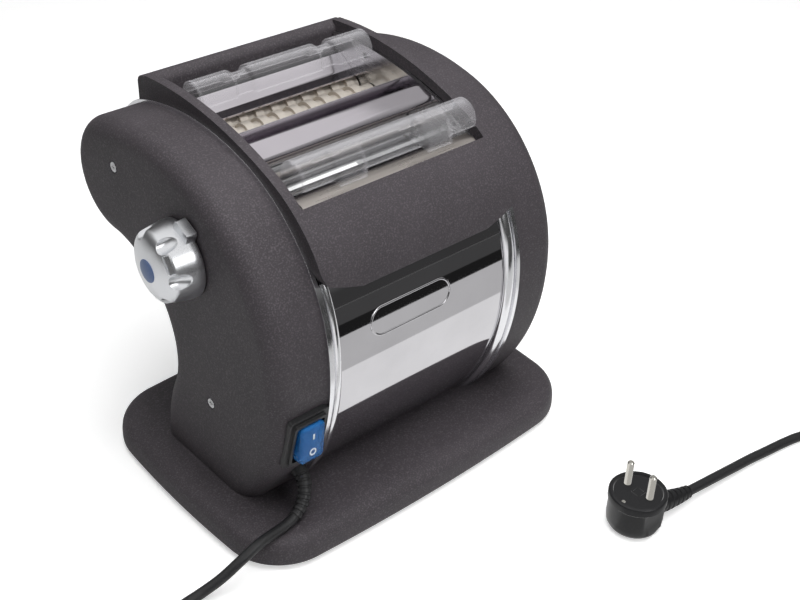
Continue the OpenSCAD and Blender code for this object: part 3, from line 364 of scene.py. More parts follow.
def grained(name, base, fleck, fine, amount, roughness, relief=0.02, specular=0.5):
    """A plastic, rubber or paint: grain tints its colour and lifts it by relief millimetres."""
    return patterned(name, GRAIN, relief, {"Roughness": roughness, "Specular_IOR_Level": specular},
                     Base=(*base, 1), Fleck=(*fleck, 1), Fine=fine, Amount=amount)


cord_rubber = grained("cord_rubber", (0.012, 0.012, 0.013), (0.03, 0.03, 0.032), 900, 0.5,
                      roughness=0.42, relief=0.03)


def make_lead():
    """The tube along the lead, the coil's turns and the tail."""
    route = smooth_path(np.vstack([[EXIT], LEAD, coil_turns()[1:-1], TAIL]), 3.0)
    lead = put_mesh("mains_lead", tube(route, CORD_D / 2, 20), cord_rubber,
                    ("cord_lead", "cord_coil", "cord_tail"), crease=60)
    return lead


# The sleeve that carries the lead out of the housing: a collar, then a taper with rings
# moulded round it, so that it bends more and more easily towards its end.
SLEEVE_LENGTH = 34.0


def make_sleeve():
    """Radius along the sleeve: a taper from 5.6 to 4.3, less a groove of 0.7 between rings."""
    route = smooth_path([EXIT] + LEAD[:6], 0.4)
    along = travelled(route)
    route, along = route[along <= SLEEVE_LENGTH], along[along <= SLEEVE_LENGTH]
    radius = np.interp(along, [0, SLEEVE_LENGTH], [5.6, 4.3])
    radius -= 0.7 * (np.sin(along * 2 * np.pi / 4.2) > 0.35) * (along > 5)
    put_mesh("lead_sleeve", tube(route, radius, 32), cord_rubber,
             ("strain_relief",), crease=50)


make_sleeve()

# ------------------------------ plug and coil tie
# A moulded angled mains plug: a round body with flat finger grips and a shallow face that
# carries two pins and the earth contacts, and a ribbed tail that takes the lead sideways.
PLUG_AT = np.array([82.0, -212.0, 0.0])
GRIP_DEPTH = 3.4


def lathe(profile, steps, at=(0, 0, 0), axis=2):
    """Circles of the radii at the places of a profile, across an axis through at that is
    parallel to X for axis 0 and to Z for axis 2. The two ends are closed."""
    turn = circle(steps)
    return stack_rings([np.insert(r * turn, axis, place, axis=1) + at for place, r in profile])


def rounded_rect(w, h, r, steps=6):
    """Corner points of a w by h rectangle with corners of radius r, going round to the left."""
    corners = []
    for k, (x, z) in enumerate([(1, 1), (-1, 1), (-1, -1), (1, -1)]):
        bend = unit(np.linspace(0, 90, steps + 1) + 90 * k)
        corners.append(r * bend + [x * (w / 2 - r), z * (h / 2 - r)])
    return np.vstack(corners)


def raised(outline, z):
    """A plan outline as points at a height."""
    return np.insert(outline, 2, z, axis=1)


def join(*solids):
    """Several (points, faces) solids as one."""
    points, faces, base = [], [], 0
    for more, its_faces in solids:
        points.append(more)
        faces += [[base + k for k in face] for face in its_faces]
        base += len(more)
    return np.vstack(points), faces


def make_plug():
    """Body: rings of a circle cut off at both sides by the finger grips, which deepen to
    GRIP_DEPTH by a height of 10 mm and end under the rim of the face. The face has a
    recess, and the tail is a tapered tube with rings."""
    profile = [
        (0.3, 12.0), (0.8, 14.6), (2.2, 17.2), (5, 18.8), (9, 19.2), (15, 19.2), (22, 19.2),
        (23.4, 19.2), (24.2, 19.9), (28.9, 19.9), (29.7, 19.3), (30.0, 18.4),
        (30.0, 16.9), (29.3, 16.6), (28.6, 16.4),
    ]
    rings = []
    for z, r in profile:
        grip = GRIP_DEPTH * np.clip((z - 2) / 8, 0, 1) * np.clip((23.2 - z) / 1.2, 0, 1)
        ring = r * circle(96)
        ring[:, 1] = np.clip(ring[:, 1], -(r - grip), r - grip)
        rings.append(raised(ring, z) + PLUG_AT)
    route = smooth_path([(90, -214.5, 13.5), (100, -218, 12.5), (108, -219.8, 11.6),
                         (117, -221.4, 10.6), (126, -222.5, 9.8)], 0.4)
    along = travelled(route)
    radius = np.interp(along, [0, 12, along[-1]], [9.4, 7.6, 4.6])
    radius -= 1.0 * (np.sin((along - 12) * 2 * np.pi / 4.6) > 0.2) * (along > 12)
    solid = join(stack_rings(rings), tube(route, radius, 40))
    return put_mesh("plug_moulding", solid, plug_rubber, ("plug_body",), crease=40)


plug_rubber = grained("plug_rubber", (0.007, 0.007, 0.008), (0.02, 0.02, 0.022), 700, 0.4,
                      roughness=0.33, relief=0.02)
plug = make_plug()


def metal(name, colour, roughness, scratch=0.0, stretch=(1, 1, 1), size=600.0, relief=0.01,
          metallic=1.0):
    """A bare metal: drawn lines, a noise stretched along the way it was worked, change its
    roughness by scratch and its height by relief millimetres."""
    return patterned(name, LINES, relief, {"Metallic": metallic}, Base=(*colour, 1),
                     Stretch=stretch, Size=size, Roughness=roughness, Scratch=scratch)


def make_lines():
    """Drawn lines: noise in Object coordinates scaled by Stretch, times Size. A slow noise
    adds the smudges of handling to the roughness and a breath of shade to the colour."""
    tree, given, out = group(
        "drawn_lines",
        {"Base": "Color", "Stretch": "Vector", "Size": "Float", "Roughness": "Float",
         "Scratch": "Float"},
        {"Color": "Color", "Roughness": "Float", "Height": "Float"},
    )
    place = surface_place(tree)
    pulled = node(tree, "VectorMath", {"operation": "MULTIPLY"}, n0=place, n1=given["Stretch"])
    lines = noise(tree, pulled.outputs[0], given["Size"], 4.0)
    smudge = noise(tree, place, 26.0, 4.0)
    level = remap(tree, maths(tree, "ADD", lines, smudge), 0.6, 1.4, -0.5, 0.5)
    tone = remap(tree, smudge, 0.3, 0.7, 0.95, 1.03)
    feed(out, Color=toned(tree, given["Base"], tone), Height=lines,
         Roughness=maths(tree, "MULTIPLY_ADD", level, given["Scratch"], given["Roughness"]))
    return tree


LINES = make_lines()
pin_metal = metal("pin_metal", (0.62, 0.6, 0.55), 0.2, scratch=0.12, stretch=(1, 1, 0.1))


def dress(names, material):
    """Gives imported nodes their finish, in all of their material slots."""
    for name in names:
        mesh = frame["nodes"][name].data
        mesh.materials.clear()
        mesh.materials.append(material)


dress(["plug_pins"], pin_metal)


def make_plug_face():
    """The face between the pins: a plate in the recess, the two earth clips at its sides and
    the square well of the earth pin."""
    plate = lathe([(28.2, 0.01), (28.2, 16.2), (28.65, 16.2), (28.65, 0.01)], 64, PLUG_AT)
    clip = rounded_rect(5.0, 2.2, 0.5, 3)
    clips = [stack_rings([raised(clip + [side * 16.6, 0], z) + PLUG_AT for z in (21.0, 29.5)])
             for side in (-1, 1)]
    outer, inner = rounded_rect(7.6, 7.6, 1.2, 4), rounded_rect(5.4, 5.4, 0.8, 4)
    well = [raised(outline, z) + PLUG_AT
            for outline, z in ((outer, 28.5), (outer, 29.4), (inner, 29.4), (inner, 28.7))]
    face = put_mesh("plug_face", join(plate, stack_rings(well)), plug_rubber,
                    bevel=0.15)
    contacts = put_mesh("plug_contacts", join(*clips), pin_metal, bevel=0.2)
    return face, contacts


plug_face, plug_contacts = make_plug_face()

# The tie round the coil: a flat black hook-and-loop band
dress(["coil_tie"], grained("tie_fabric", (0.02, 0.02, 0.023), (0.06, 0.06, 0.065), 1600, 0.7,
                            roughness=0.9, relief=0.12))

lead = make_lead()

# ------------------------------ base plate
# A heavy cast plate with bowed sides and a soft rounded top edge, finished in the same
# graphite texture paint as the housings. It stands on four rubber feet.
BASE_W, BASE_D, BASE_TOP = 293.0, 198.6, 23.5
BASE_BOW, SIDE_BOW, BASE_CORNER = 6.5, 5.6, 43.4
RIM_GAP, COVER_EDGE, DECK_T = 2.5, 6.0, 5.0

paint = grained("graphite_paint", (0.053, 0.046, 0.052), (0.15, 0.137, 0.148), 1000, 0.5,
                roughness=0.6, relief=0.14, specular=0.35)


def base_ring(inset, z, count=64):
    """Plan outline of the base by the angle of its outward normal. In each quarter it runs
    along the side's arc, a corner of radius BASE_CORNER and the long side's arc, all of
    them less the inset."""
    long_r = ((BASE_W / 2) ** 2 + BASE_BOW ** 2) / 2 / BASE_BOW
    side_r = ((BASE_D / 2) ** 2 + SIDE_BOW ** 2) / 2 / SIDE_BOW
    down, left = long_r - BASE_D / 2 - BASE_BOW, side_r - BASE_W / 2
    # The middle of the corner's arc, from a first guess that closes in on the answer
    x = y = 60.0
    for _ in range(40):
        x = math.sqrt((side_r - BASE_CORNER) ** 2 - y * y) - left
        y = math.sqrt((long_r - BASE_CORNER) ** 2 - x * x) - down
    first, second = math.atan2(y, x + left), math.atan2(y + down, x)
    a = np.concatenate([
        np.linspace(0, first, count // 4, endpoint=False),
        np.linspace(first, second, count // 2, endpoint=False),
        np.linspace(second, math.pi / 2, count // 4, endpoint=False),
    ])
    r = np.where(a < first, side_r, np.where(a < second, BASE_CORNER, long_r)) - inset
    cx = np.where(a < first, -left, np.where(a < second, x, 0.0))
    cy = np.where(a < first, 0.0, np.where(a < second, y, -down))
    quarter = np.stack([cx + r * np.cos(a), cy + r * np.sin(a)], 1)
    middle = [0.0, BASE_D / 2 + BASE_BOW - inset]
    half = np.vstack([quarter, middle, quarter[:0:-1] * [-1, 1]])
    return raised(np.vstack([half, -half]), z)


def make_base():
    """Rings from the deck out over the rounded top edge and down to the table's rim, then in
    to the recess of the bottom cover and up to the underside of the deck."""
    z = [BASE_TOP, 22.8, 21.3, 18.5, 14.5, 7.5, 4.5, RIM_GAP]
    inset = [13.0, 8.0, 4.4, 1.8, 0.4, 0.0, 0.6, 2.5]
    edge = smooth_path(np.column_stack([inset, z, np.zeros(len(z))]), 1.0)
    rings = [base_ring(40.0, BASE_TOP), base_ring(20.0, BASE_TOP)]
    rings += [base_ring(i, height) for i, height, _ in edge]
    rim = rings[-1]
    half_w, half_d = BASE_W / 2 - BASE_CORNER, BASE_D / 2 - COVER_EDGE
    scale = np.minimum(half_w / np.maximum(np.abs(rim[:, 0]), 1e-6),
                       half_d / np.maximum(np.abs(rim[:, 1]), 1e-6))
    for height in (RIM_GAP, BASE_TOP - DECK_T):
        rings.append(raised(rim[:, :2] * scale[:, None], height))
    put_mesh("base_casting", stack_rings(rings[::-1]), paint,
             ("base_plate",), crease=50)


make_base()
dress(["base_cover"], grained("bottom_plastic", (0.02, 0.02, 0.021), (0.05, 0.05, 0.05), 1300,
                              0.4, roughness=0.55, relief=0.04))
dress(["rubber_feet"], grained("foot_rubber", (0.018, 0.018, 0.018), (0.04, 0.04, 0.04), 800,
                               0.5, roughness=0.75, relief=0.04))

# ------------------------------ housings
# Two bean-shaped covers with a large rounded outer edge, sprayed with graphite texture
# paint. Each is held by two cross-head screws from the side. Only their outside is made.
BODY_W, CORE_W, EDGE_R = 243.0, 162.0, 13.5
HEEL = np.array([51.1, BASE_TOP])
BODY_BENDS = [(113.0, 26.5), (-60.6, 116.5), (41.6, 161.0), (187.5, 33.2), (115.1, 71.4),
              (172.8, 42.8)]
SEAT_R, SEAT_DEPTH = 4.2, 1.7
LEFT_POSTS = [(81.0, 219.0), (-14.0, 86.0)]
RIGHT_POSTS = [(115.0, 192.0), (-14.0, 86.0)]


def arc_line(start, heading, bends, inset, step=2.0):
    """A chain of arcs in the side view as (y, z) points, and the heading at its end. Each
    bend turns left about start + r normal, where r is its radius less the inset. A minus
    radius turns right."""
    at = np.asarray(start, float)
    runs = []
    for radius, sweep in bends:
        r = radius - inset
        turn = math.copysign(sweep, radius)
        count = max(3, math.ceil(abs(radius) * math.radians(sweep) / step))
        normal = unit(heading + 90 + turn * np.arange(count + 1) / count)
        centre = at + r * normal[0]
        run = centre - r * normal
        runs.append(run[:-1])
        at = run[-1]
        heading += turn
    runs.append(at[None])
    return np.vstack(runs), heading


def body_line(inset):
    """Side outline of the housings, set in from the outside: from the heel on the base up
    the back, over the rear lobe and down the front to the base again."""
    line, heading = arc_line(HEEL + [-inset, 0], 90.0, BODY_BENDS, inset)
    drop = (BASE_TOP - line[-1, 1]) / math.sin(math.radians(heading))
    return np.vstack([line, line[-1] + drop * unit([heading])])


def side_ring(x, line):
    """A side-view line as points at one distance x from the middle plane."""
    return np.insert(line, 0, x, axis=1)


def bore(piece, at, radius, x0, x1):
    """Cuts a round hole along X through the piece, from x0 to x1."""
    hole = lathe([(x0, radius), (x1, radius)], 40, (0, *at), axis=0)
    drill = into_scene("drill", new_mesh("drill", hole))
    cut = piece.modifiers.new("bore", "BOOLEAN")
    cut.object = drill
    cut.solver = "EXACT"
    made = bpy.data.meshes.new_from_object(
        piece.evaluated_get(bpy.context.evaluated_depsgraph_get()))
    piece.modifiers.remove(cut)
    piece.data = made
    bpy.data.objects.remove(drill)


def on_side(solid, side):
    """A solid made for the right side, or its mirror image on the left, faces outward."""
    points, faces = solid
    return solid if side > 0 else (points * [-1, 1, 1], [face[::-1] for face in faces])


def make_housing(name, side, posts, node_name):
    """Rings of the outline from the inner edge outward. Over the rounded edge the ring goes
    out by EDGE_R sin a and in by (EDGE_R + 1) (1 - cos a), for a from 0 to 90 degrees."""
    outer = BODY_W / 2
    rings = [side_ring(CORE_W / 2, body_line(0.0)), side_ring(CORE_W / 2 + 2, body_line(0.0))]
    for cos_a, sin_a in unit(np.linspace(0, 90, 15)):
        rings.append(side_ring(outer - EDGE_R + EDGE_R * sin_a,
                               body_line((EDGE_R + 1) * (1 - cos_a))))
    rings.append(side_ring(outer, body_line(EDGE_R + 4)))
    piece = put_mesh(name, on_side(stack_rings(rings), side), paint,
                     (node_name,), crease=40)
    for at in posts:
        bore(piece, at, SEAT_R, *sorted([side * (outer - SEAT_DEPTH), side * (outer + 2)]))
    smooth_faces(piece.data, 40)
    round_edges(piece, 0.5, 60.0)


make_housing("left_cover", -1, LEFT_POSTS, "left_housing")
make_housing("right_cover", 1, RIGHT_POSTS, "right_housing")
dress(["housing_screws", "housing_posts", "tie_rods", "gear_studs", "pinion_shaft",
       "knob_shaft"], metal("zinc_plate", (0.62, 0.62, 0.63), 0.28, scratch=0.15, size=900.0))

# ------------------------------ side plates and trim
# Two satin steel plates carry all the shafts. Polished strips cover the joint between the
# housings and the middle of the machine, and show as a fine bright line along the hood.
THROAT = 71.0
WEB_X, WEB_END, WEB_RISE, WEB_INSET = 79.4, CORE_W / 2 + 1.3, 2.4, 7.5
BEAD_INSET, LEDGE_INSET, STRIP_INSET, STRIP_TOP = 1.2, 0.9, 2.6, 190.0
dress(["left_side_plate", "right_side_plate"],
      metal("plate_steel", (0.6, 0.6, 0.61), 0.24, scratch=0.2, stretch=(1, 0.06, 1)))
chrome = metal("chrome", (0.64, 0.63, 0.65), 0.045, scratch=0.02, size=260.0, relief=0.0006)


def band(outer, inner, x0, x1):
    """A sheet between two side-view lines with as many points, from x0 to x1: at each
    point a ring of four corners."""
    rings = [np.array([[x0, *p], [x1, *p], [x1, *q], [x0, *q]]) for p, q in zip(outer, inner)]
    return stack_rings(rings)


bead_chrome = metal("bead_chrome", (0.86, 0.86, 0.88), 0.17, scratch=0.04, size=260.0,
                    relief=0.0006)


def make_strip(name, side, node_name, bead_x, rise):
    """A web against the housing's inner edge all round. Up the front, to under the hood, a
    round bead from the panel's edge out to bead_x, and a ledge from there to the web.
    Across the bead x goes with cos a and its rise with sin a."""
    web = band(body_line(-WEB_RISE), body_line(WEB_INSET), WEB_X, WEB_END)
    middle, half = (THROAT + bead_x) / 2, (bead_x - THROAT) / 2
    foot = body_line(STRIP_INSET)
    bead = [side_ring(middle + half * cos_a, body_line(BEAD_INSET - rise * sin_a))
            for cos_a, sin_a in unit(np.linspace(180, 0, 15))]
    bead = np.stack(bead + [side_ring(bead_x, foot), side_ring(THROAT, foot)], 1)
    low = (bead[:, 0, 1] < -2) & (bead[:, 0, 2] < STRIP_TOP)
    ledge = band(body_line(LEDGE_INSET)[low], foot[low], bead_x - 0.5, WEB_X + 0.2)
    solid = on_side(join(web, ledge, stack_rings(list(bead[low]))), side)
    put_mesh(name, solid, bead_chrome, (node_name,), bevel=0.4, segments=3)


make_strip("left_strip", -1, "left_edge_strip", 76.0, 2.0)
make_strip("right_strip", 1, "right_edge_strip", 79.6, 3.2)

# ------------------------------ front and rear panels
# Chromed sheet, rolled to the curve of the housings. The front one has a raised blank
# cartouche; the rear one leads the dough out under the rollers.
PANEL_INSET, PANEL_T, PANEL_X = 1.8, 1.5, THROAT - 0.3
FRONT_Y, PANEL_TOP = -30.0, 197.0
RIDGE_W, RIDGE_H, RIDGE_SINK = 1.6, 0.65, 0.03
BADGE_W, BADGE_H, BADGE_X, BADGE_Z = 68.0, 21.0, -12.0, 152.0
CHUTE_BENDS = [(113.0, 26.5), (-60.6, 27.6), (70.0, 50.0), (900.0, 1.5)]


def make_front_panel():
    """The front of the outline between base and hood, one sheet thick."""
    outer, inner = body_line(PANEL_INSET), body_line(PANEL_INSET + PANEL_T)
    front = (outer[:, 0] < FRONT_Y) & (outer[:, 1] < PANEL_TOP)
    put_mesh("front_sheet_panel", band(outer[front], inner[front], -PANEL_X, PANEL_X),
             chrome, ("front_panel",), bevel=0.2)


def on_panel(x, z, rise):
    """Points on the front panel at those x and z, raised by rise."""
    line = body_line(PANEL_INSET - rise)
    line = line[(line[:, 0] < FRONT_Y) & (line[:, 1] < PANEL_TOP + 3)][::-1]
    return np.column_stack([x, np.interp(z, line[:, 1], line[:, 0]), z])


def make_badge():
    """A ridge round a pill-shaped place: outlines of the pill, from its outside inwards,
    whose height over the panel follows a half round."""
    pill = rounded_rect(BADGE_W, BADGE_H, BADGE_H / 2 - 0.05, 24)
    straight = (BADGE_W - BADGE_H) / 2
    out = pill - [1, 0] * np.clip(pill[:, :1], -straight, straight)
    out /= np.linalg.norm(out, axis=1, keepdims=True)
    rings = []
    for cos_a, sin_a in unit(np.linspace(0, 180, 9)):
        flat = pill - out * RIDGE_W / 2 * (1 - cos_a) + [BADGE_X, BADGE_Z]
        rings.append(on_panel(flat[:, 0], flat[:, 1], RIDGE_H * sin_a - RIDGE_SINK))
    solid = np.vstack(rings), grid_faces(len(rings), len(pill), close_rows=True)
    put_mesh("badge_ridge", solid, chrome, crease=80)


def make_rear_panel():
    """The rear outline up to the rear lobe, then forward as a chute under the rollers."""
    outer, inner = (arc_line(HEEL + [-inset, 0], 90.0, CHUTE_BENDS, inset)[0]
                    for inset in (PANEL_INSET, PANEL_INSET + PANEL_T))
    put_mesh("rear_chute", band(outer, inner, -PANEL_X, PANEL_X), chrome,
             ("rear_panel",), bevel=0.2)


make_front_panel()
make_badge()
make_rear_panel()

# ------------------------------ hood
# A painted cover over the rollers: two curved rails, an apron that hangs down in front with
# a bowed lower edge, and a round-ended bar across the back.
def refined(name, node_name, material, body="frame", bevel=0.3, crease=30.0, flat=0.4):
    """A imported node's shape as a finished piece: its loose corners are merged, coplanar
    triangles are joined, and its edges are rounded."""
    mesh = frame["nodes"][node_name].data.copy()
    mesh.name = name
    work = bmesh.new()
    work.from_mesh(mesh)
    bmesh.ops.remove_doubles(work, verts=work.verts, dist=2e-6)
    bmesh.ops.dissolve_limit(work, angle_limit=math.radians(flat), verts=work.verts,
                             edges=work.edges)
    work.to_mesh(mesh)
    work.free()
    if mesh.has_custom_normals:
        mesh.attributes.remove(mesh.attributes["custom_normal"])
    finish_piece(name, mesh, material, (node_name,), body, crease, bevel)


refined("hood", "hood_frame", paint, bevel=0.9, crease=38.0)

# ------------------------------ feed plates
# Bent and polished sheet steel that leads the dough between the rollers. The strip that
# meets the hood has a warm satin polish; the others are bright.
FEED_T, FEED_X = 1.5, THROAT - 0.05


def rounded_line(points, reach=2.2, steps=5):
    """A bent line whose corners are replaced by short parabolas that start reach before the
    corner and end reach after it."""
    p = np.asarray(points, float)
    out = [p[0]]
    for before, corner, after in zip(p[:-2], p[1:-1], p[2:]):
        a, b = before - corner, after - corner
        a *= min(reach, 0.45 * np.linalg.norm(a)) / np.linalg.norm(a)
        b *= min(reach, 0.45 * np.linalg.norm(b)) / np.linalg.norm(b)
        t = np.linspace(0, 1, steps + 1)[:, None]
        out.extend(corner + a * (1 - t) ** 2 + b * t ** 2)
    out.append(p[-1])
    return np.array(out)


def bent_sheet(points):
    """A sheet across the throat along a rounded line, half its thickness to each side."""
    line = rounded_line(points)
    way = np.gradient(line, axis=0)
    out = np.stack([way[:, 1], -way[:, 0]], 1)
    out *= FEED_T / 2 / np.linalg.norm(out, axis=1, keepdims=True)
    return band(line - out, line + out, -FEED_X, FEED_X)


polished = metal("polished_sheet", (0.56, 0.53, 0.565), 0.12, scratch=0.08,
                 stretch=(0.05, 1, 1), size=700.0, relief=0.0015)
satin = metal("satin_strip", (0.52, 0.48, 0.45), 0.3, scratch=0.2, stretch=(0.06, 1, 1),
              size=900.0, relief=0.006)
for piece_name, node_name, slot_name, finish, *lines in [
    ("front_plate", "front_feed_plate", "satin_strip", satin,
     [(-59, 220.5), (-54, 226), (-48, 230.3), (-41, 230.3), (-20, 212), (-13, 203.5)]),
    ("middle_plate", "middle_feed_plate", "chrome_trim", polished,
     [(11, 225), (-9, 241), (-7, 244.5), (5, 249.2), (8, 246.5), (9, 237), (12, 235), (15, 238),
      (16.5, 251)]),
    ("rear_plates", "rear_feed_plates", "chrome_trim", polished,
     [(19.5, 249), (22, 246), (33, 241), (42, 234)],
     [(66, 235.2), (77, 235.2), (84.5, 240.5), (89.3, 243)]),
]:
    sheets = [bent_sheet(line) for line in lines]
    put_mesh(piece_name, join(*sheets), finish, (node_name,), bevel=0.2)

# ------------------------------ rollers and cutters
# Ground steel rollers for the sheet, and cutters turned from bar with square discs that
# pass between each other. Scrapers and combs clean them from below.
roller_steel = metal("roller_steel", (0.7, 0.7, 0.71), 0.16, scratch=0.1, size=1500.0,
                     relief=0.003)
cutter_metal = metal("cutter_metal", (0.6, 0.55, 0.49), 0.38, scratch=0.16,
                     stretch=(1, 0.1, 0.1), size=1300.0, relief=0.006, metallic=0.55)
for stem, kind, shape, slot_name, finish, width in [
    ("roller", "sheet", "roller", "roller_steel", roller_steel, 0.25),
    ("wide_discs", "wide", "cutter", "cutter_metal", cutter_metal, 0.25),
    ("fine_discs", "fine", "cutter", "cutter_metal", cutter_metal, 0.12),
]:
    for place in ("front", "rear"):
        refined(f"{place}_{stem}", f"{place}_{kind}_{shape}", finish,
                f"{place}_{kind}_set", bevel=width, crease=40.0, flat=0.1)
dress(["sheet_scrapers", "wide_cutter_combs", "fine_cutter_combs"],
      metal("scraper_steel", (0.6, 0.6, 0.62), 0.3, scratch=0.2, stretch=(0.06, 1, 1)))

# ------------------------------ bearings, gears and drive
# Bronze bushes and blocks, acetal gears on steel studs, and a geared motor in the foot.
dress(["shaft_bushes", "bearing_blocks"],
      metal("bearing_bronze", (0.62, 0.44, 0.24), 0.38, scratch=0.15, size=1200.0))
dress(["front_sheet_gear", "rear_sheet_gear", "front_wide_gear", "rear_wide_gears",
       "front_fine_gear", "rear_fine_gears", "front_idler_gear", "rear_idler_gear",
       "drive_gear", "reduction_gear"],
      grained("acetal", (0.72, 0.7, 0.64), (0.78, 0.76, 0.7), 500, 0.5, roughness=0.4,
              relief=0.01))
dress(["gearbox"], grained("grey_casting", (0.14, 0.14, 0.145), (0.2, 0.2, 0.2), 400, 0.6,
                           roughness=0.55, relief=0.1))
dress(["motor"], grained("motor_paint", (0.04, 0.04, 0.045), (0.08, 0.08, 0.08), 900, 0.4,
                         roughness=0.4, relief=0.03))
dress(["internal_leads"], grained("wire_plastic", (0.03, 0.1, 0.35), (0.05, 0.14, 0.42), 900,
                                  0.3, roughness=0.4, relief=0.01))

# ------------------------------ finger guards
# Clear moulded half tubes over the feed slots, with wide lobes and narrow necks. A plate
# at each end holds them by a peg in the side plate.
GUARD_WALL, GUARD_END = 1.8, 70.0
EAR_R, PEG_R = 4.0, 2.0
STEP_W = 1.6


def clear_plastic():
    """Clear acrylic with a breath of lilac: see-through where it faces the eye, and paler and
    denser towards its rims and edges, with faint smudges in its gloss."""
    material, tree, shader = new_material("clear_plastic", Specular_IOR_Level=0.8)
    smudge = noise(tree, surface_place(tree), 45.0, 2.0)
    facing = node(tree, "LayerWeight", Blend=0.2).outputs["Facing"]
    feed(shader, Base_Color=blended(tree, smudge, (0.8, 0.79, 0.83, 1), (0.9, 0.89, 0.92, 1)),
         Roughness=remap(tree, smudge, 0.4, 0.8, 0.02, 0.06),
         Alpha=remap(tree, facing, 0.1, 0.9, 0.06, 0.7))
    return material


acrylic = clear_plastic()


def guard_shell(neck_axis, neck_r, lobe_axis, lobe_r, lobes, drop):
    """Stations along X carry an axis and a radius that step between neck and lobe within
    STEP_W. Each station is a half circle from back to front and a straight drop, outside
    and then back along the inside."""
    x = np.linspace(-GUARD_END, GUARD_END, 281)
    lobe = np.zeros(len(x))
    for start, finish in lobes:
        rise = (x - start) / STEP_W + 0.5 if start > -GUARD_END else 1
        fall = (finish - x) / STEP_W + 0.5 if finish < GUARD_END else 1
        lobe = np.maximum(lobe, np.clip(np.minimum(rise, fall), 0, 1))
    lobe = lobe * lobe * (3 - 2 * lobe)
    axis = np.asarray(neck_axis) + lobe[:, None] * (np.asarray(lobe_axis) - neck_axis)
    radius = neck_r + lobe * (lobe_r - neck_r)
    arc = unit(np.linspace(0, 180, 25))
    rings = []
    for place, (y, z), r in zip(x, axis, radius):
        outer, inner = (np.vstack([arc * out, [-out, -drop]]) for out in (r, r - GUARD_WALL))
        rings.append(side_ring(place, np.vstack([outer, inner[::-1]]) + [y, z]))
    return stack_rings(rings)


def guard_end(axis, r, peg):
    """The right end plate: a half disc that narrows to a round ear on the peg."""
    axis, peg = np.asarray(axis, float), np.asarray(peg, float)
    start = math.degrees(math.atan2(*(peg - axis)[::-1]))
    disc = axis + r * unit(np.linspace(0, 180, 25))
    ear = peg + EAR_R * unit(start + np.linspace(-90, 90, 13))
    outline = np.vstack([disc, ear])
    return stack_rings([side_ring(x, outline) for x in (GUARD_END - GUARD_WALL, GUARD_END)])


def peg_pin(peg):
    """The short peg of the right end plate in the side plate."""
    profile = [(GUARD_END, PEG_R), (GUARD_END + 2.3, PEG_R), (GUARD_END + 2.5, PEG_R - 0.2)]
    return lathe(profile, 24, (0, *peg), axis=0)


def make_guard(name, node_name, neck_axis, neck_r, lobe_axis, lobe_r, lobes, drop, peg):
    """One guard: its shell, two end plates and two pegs."""
    at_lobe = lobes[-1][1] >= GUARD_END
    end_axis, end_r = (lobe_axis, lobe_r) if at_lobe else (neck_axis, neck_r)
    ends = [guard_end(end_axis, end_r, peg), peg_pin(peg)]
    solid = join(guard_shell(neck_axis, neck_r, lobe_axis, lobe_r, lobes, drop),
                 *[on_side(end, side) for side in (-1, 1) for end in ends])
    piece = put_mesh(name, solid, acrylic, (node_name,), crease=40, bevel=0.2)
    piece.visible_shadow = False


make_guard("front_finger_guard", "front_guard", (-39, 244), 11.5, (-40.6, 241.5), 14.5,
           [(-46, -24), (24, 46)], 4.0, (-30, 233))
make_guard("rear_finger_guard", "rear_guard", (64, 258), 8.0, (64, 258), 11.0,
           [(-GUARD_END, -41), (-28, 28), (41, GUARD_END)], 4.0, (62, 250))

# ------------------------------ gap knob
# A turned aluminium knob with a domed face. A ring-shaped cutter has made its six finger
# scoops and a flat one its index notch. A tab on its foot points to the setting.
KNOB_AT = np.array([4.0, 190.0])
KNOB_X, KNOB_R, KNOB_H = 122.6, 26.0, 24.6
FACE_R, DOME, CAP_R = 24.0, 7.8, 7.65
SCOOPS, SCOOP_R, SCOOP_SWEEP = 6, 5.0, 11.0
SCOOP_UP, SCOOP_OUT, SCOOP_TILT = 15.2, 20.4, 25.0
NOTCH_UP, NOTCH_OUT, NOTCH_TILT = 20.2, 21.0, 51.0
NOTCH_W, NOTCH_L, NOTCH_FLOOR = 4.4, 12.0, 1.1
TAB_ANGLE, TAB_W, TAB_T, TAB_OUT = 115.0, 14.0, 7.0, 6.0
SCOOP_ANGLE = TAB_ANGLE + 4.0
CUT_STEP, CUT_STEPS = 0.05, 110
SHAFT_R, CAP_SEAT = 4.1, 1.9


def knob_profile():
    """Height up the knob and radius: a straight foot, a flank that leans in, and a dome
    whose height goes with sin a and radius with cos a. Its corners are eased."""
    end = math.acos(CAP_R / FACE_R)
    a = np.linspace(0, end, 60)
    dome = np.column_stack([KNOB_H - DOME * (1 - np.sin(a) / math.sin(end)), FACE_R * np.cos(a)])
    flank = np.column_stack([np.linspace(3.5, KNOB_H - DOME - 0.5, 30),
                             np.linspace(KNOB_R, FACE_R + 0.1, 30)])
    line = np.vstack([[[0.0, KNOB_R - 0.5], [0.2, KNOB_R - 0.15], [0.5, KNOB_R]], flank, dome])
    for _ in range(6):
        line[3:-1] = (line[2:-2] + 2 * line[3:-1] + line[4:]) / 4
    return line


def cutter_place(points, angle, up, out, tilt):
    """Points of the machine as a cutter sees them that stands on the knob at an angle, a
    height and a radius: x along the surface, y out of it and z across."""
    a, t = math.radians(angle), math.radians(tilt)
    y, z = (points[:, 1:] - KNOB_AT).T
    x = points[:, 0] + KNOB_X + up
    y, z = y * math.cos(a) + z * math.sin(a) - out, z * math.cos(a) - y * math.sin(a)
    return x * math.cos(t) + y * math.sin(t), y * math.cos(t) - x * math.sin(t), z


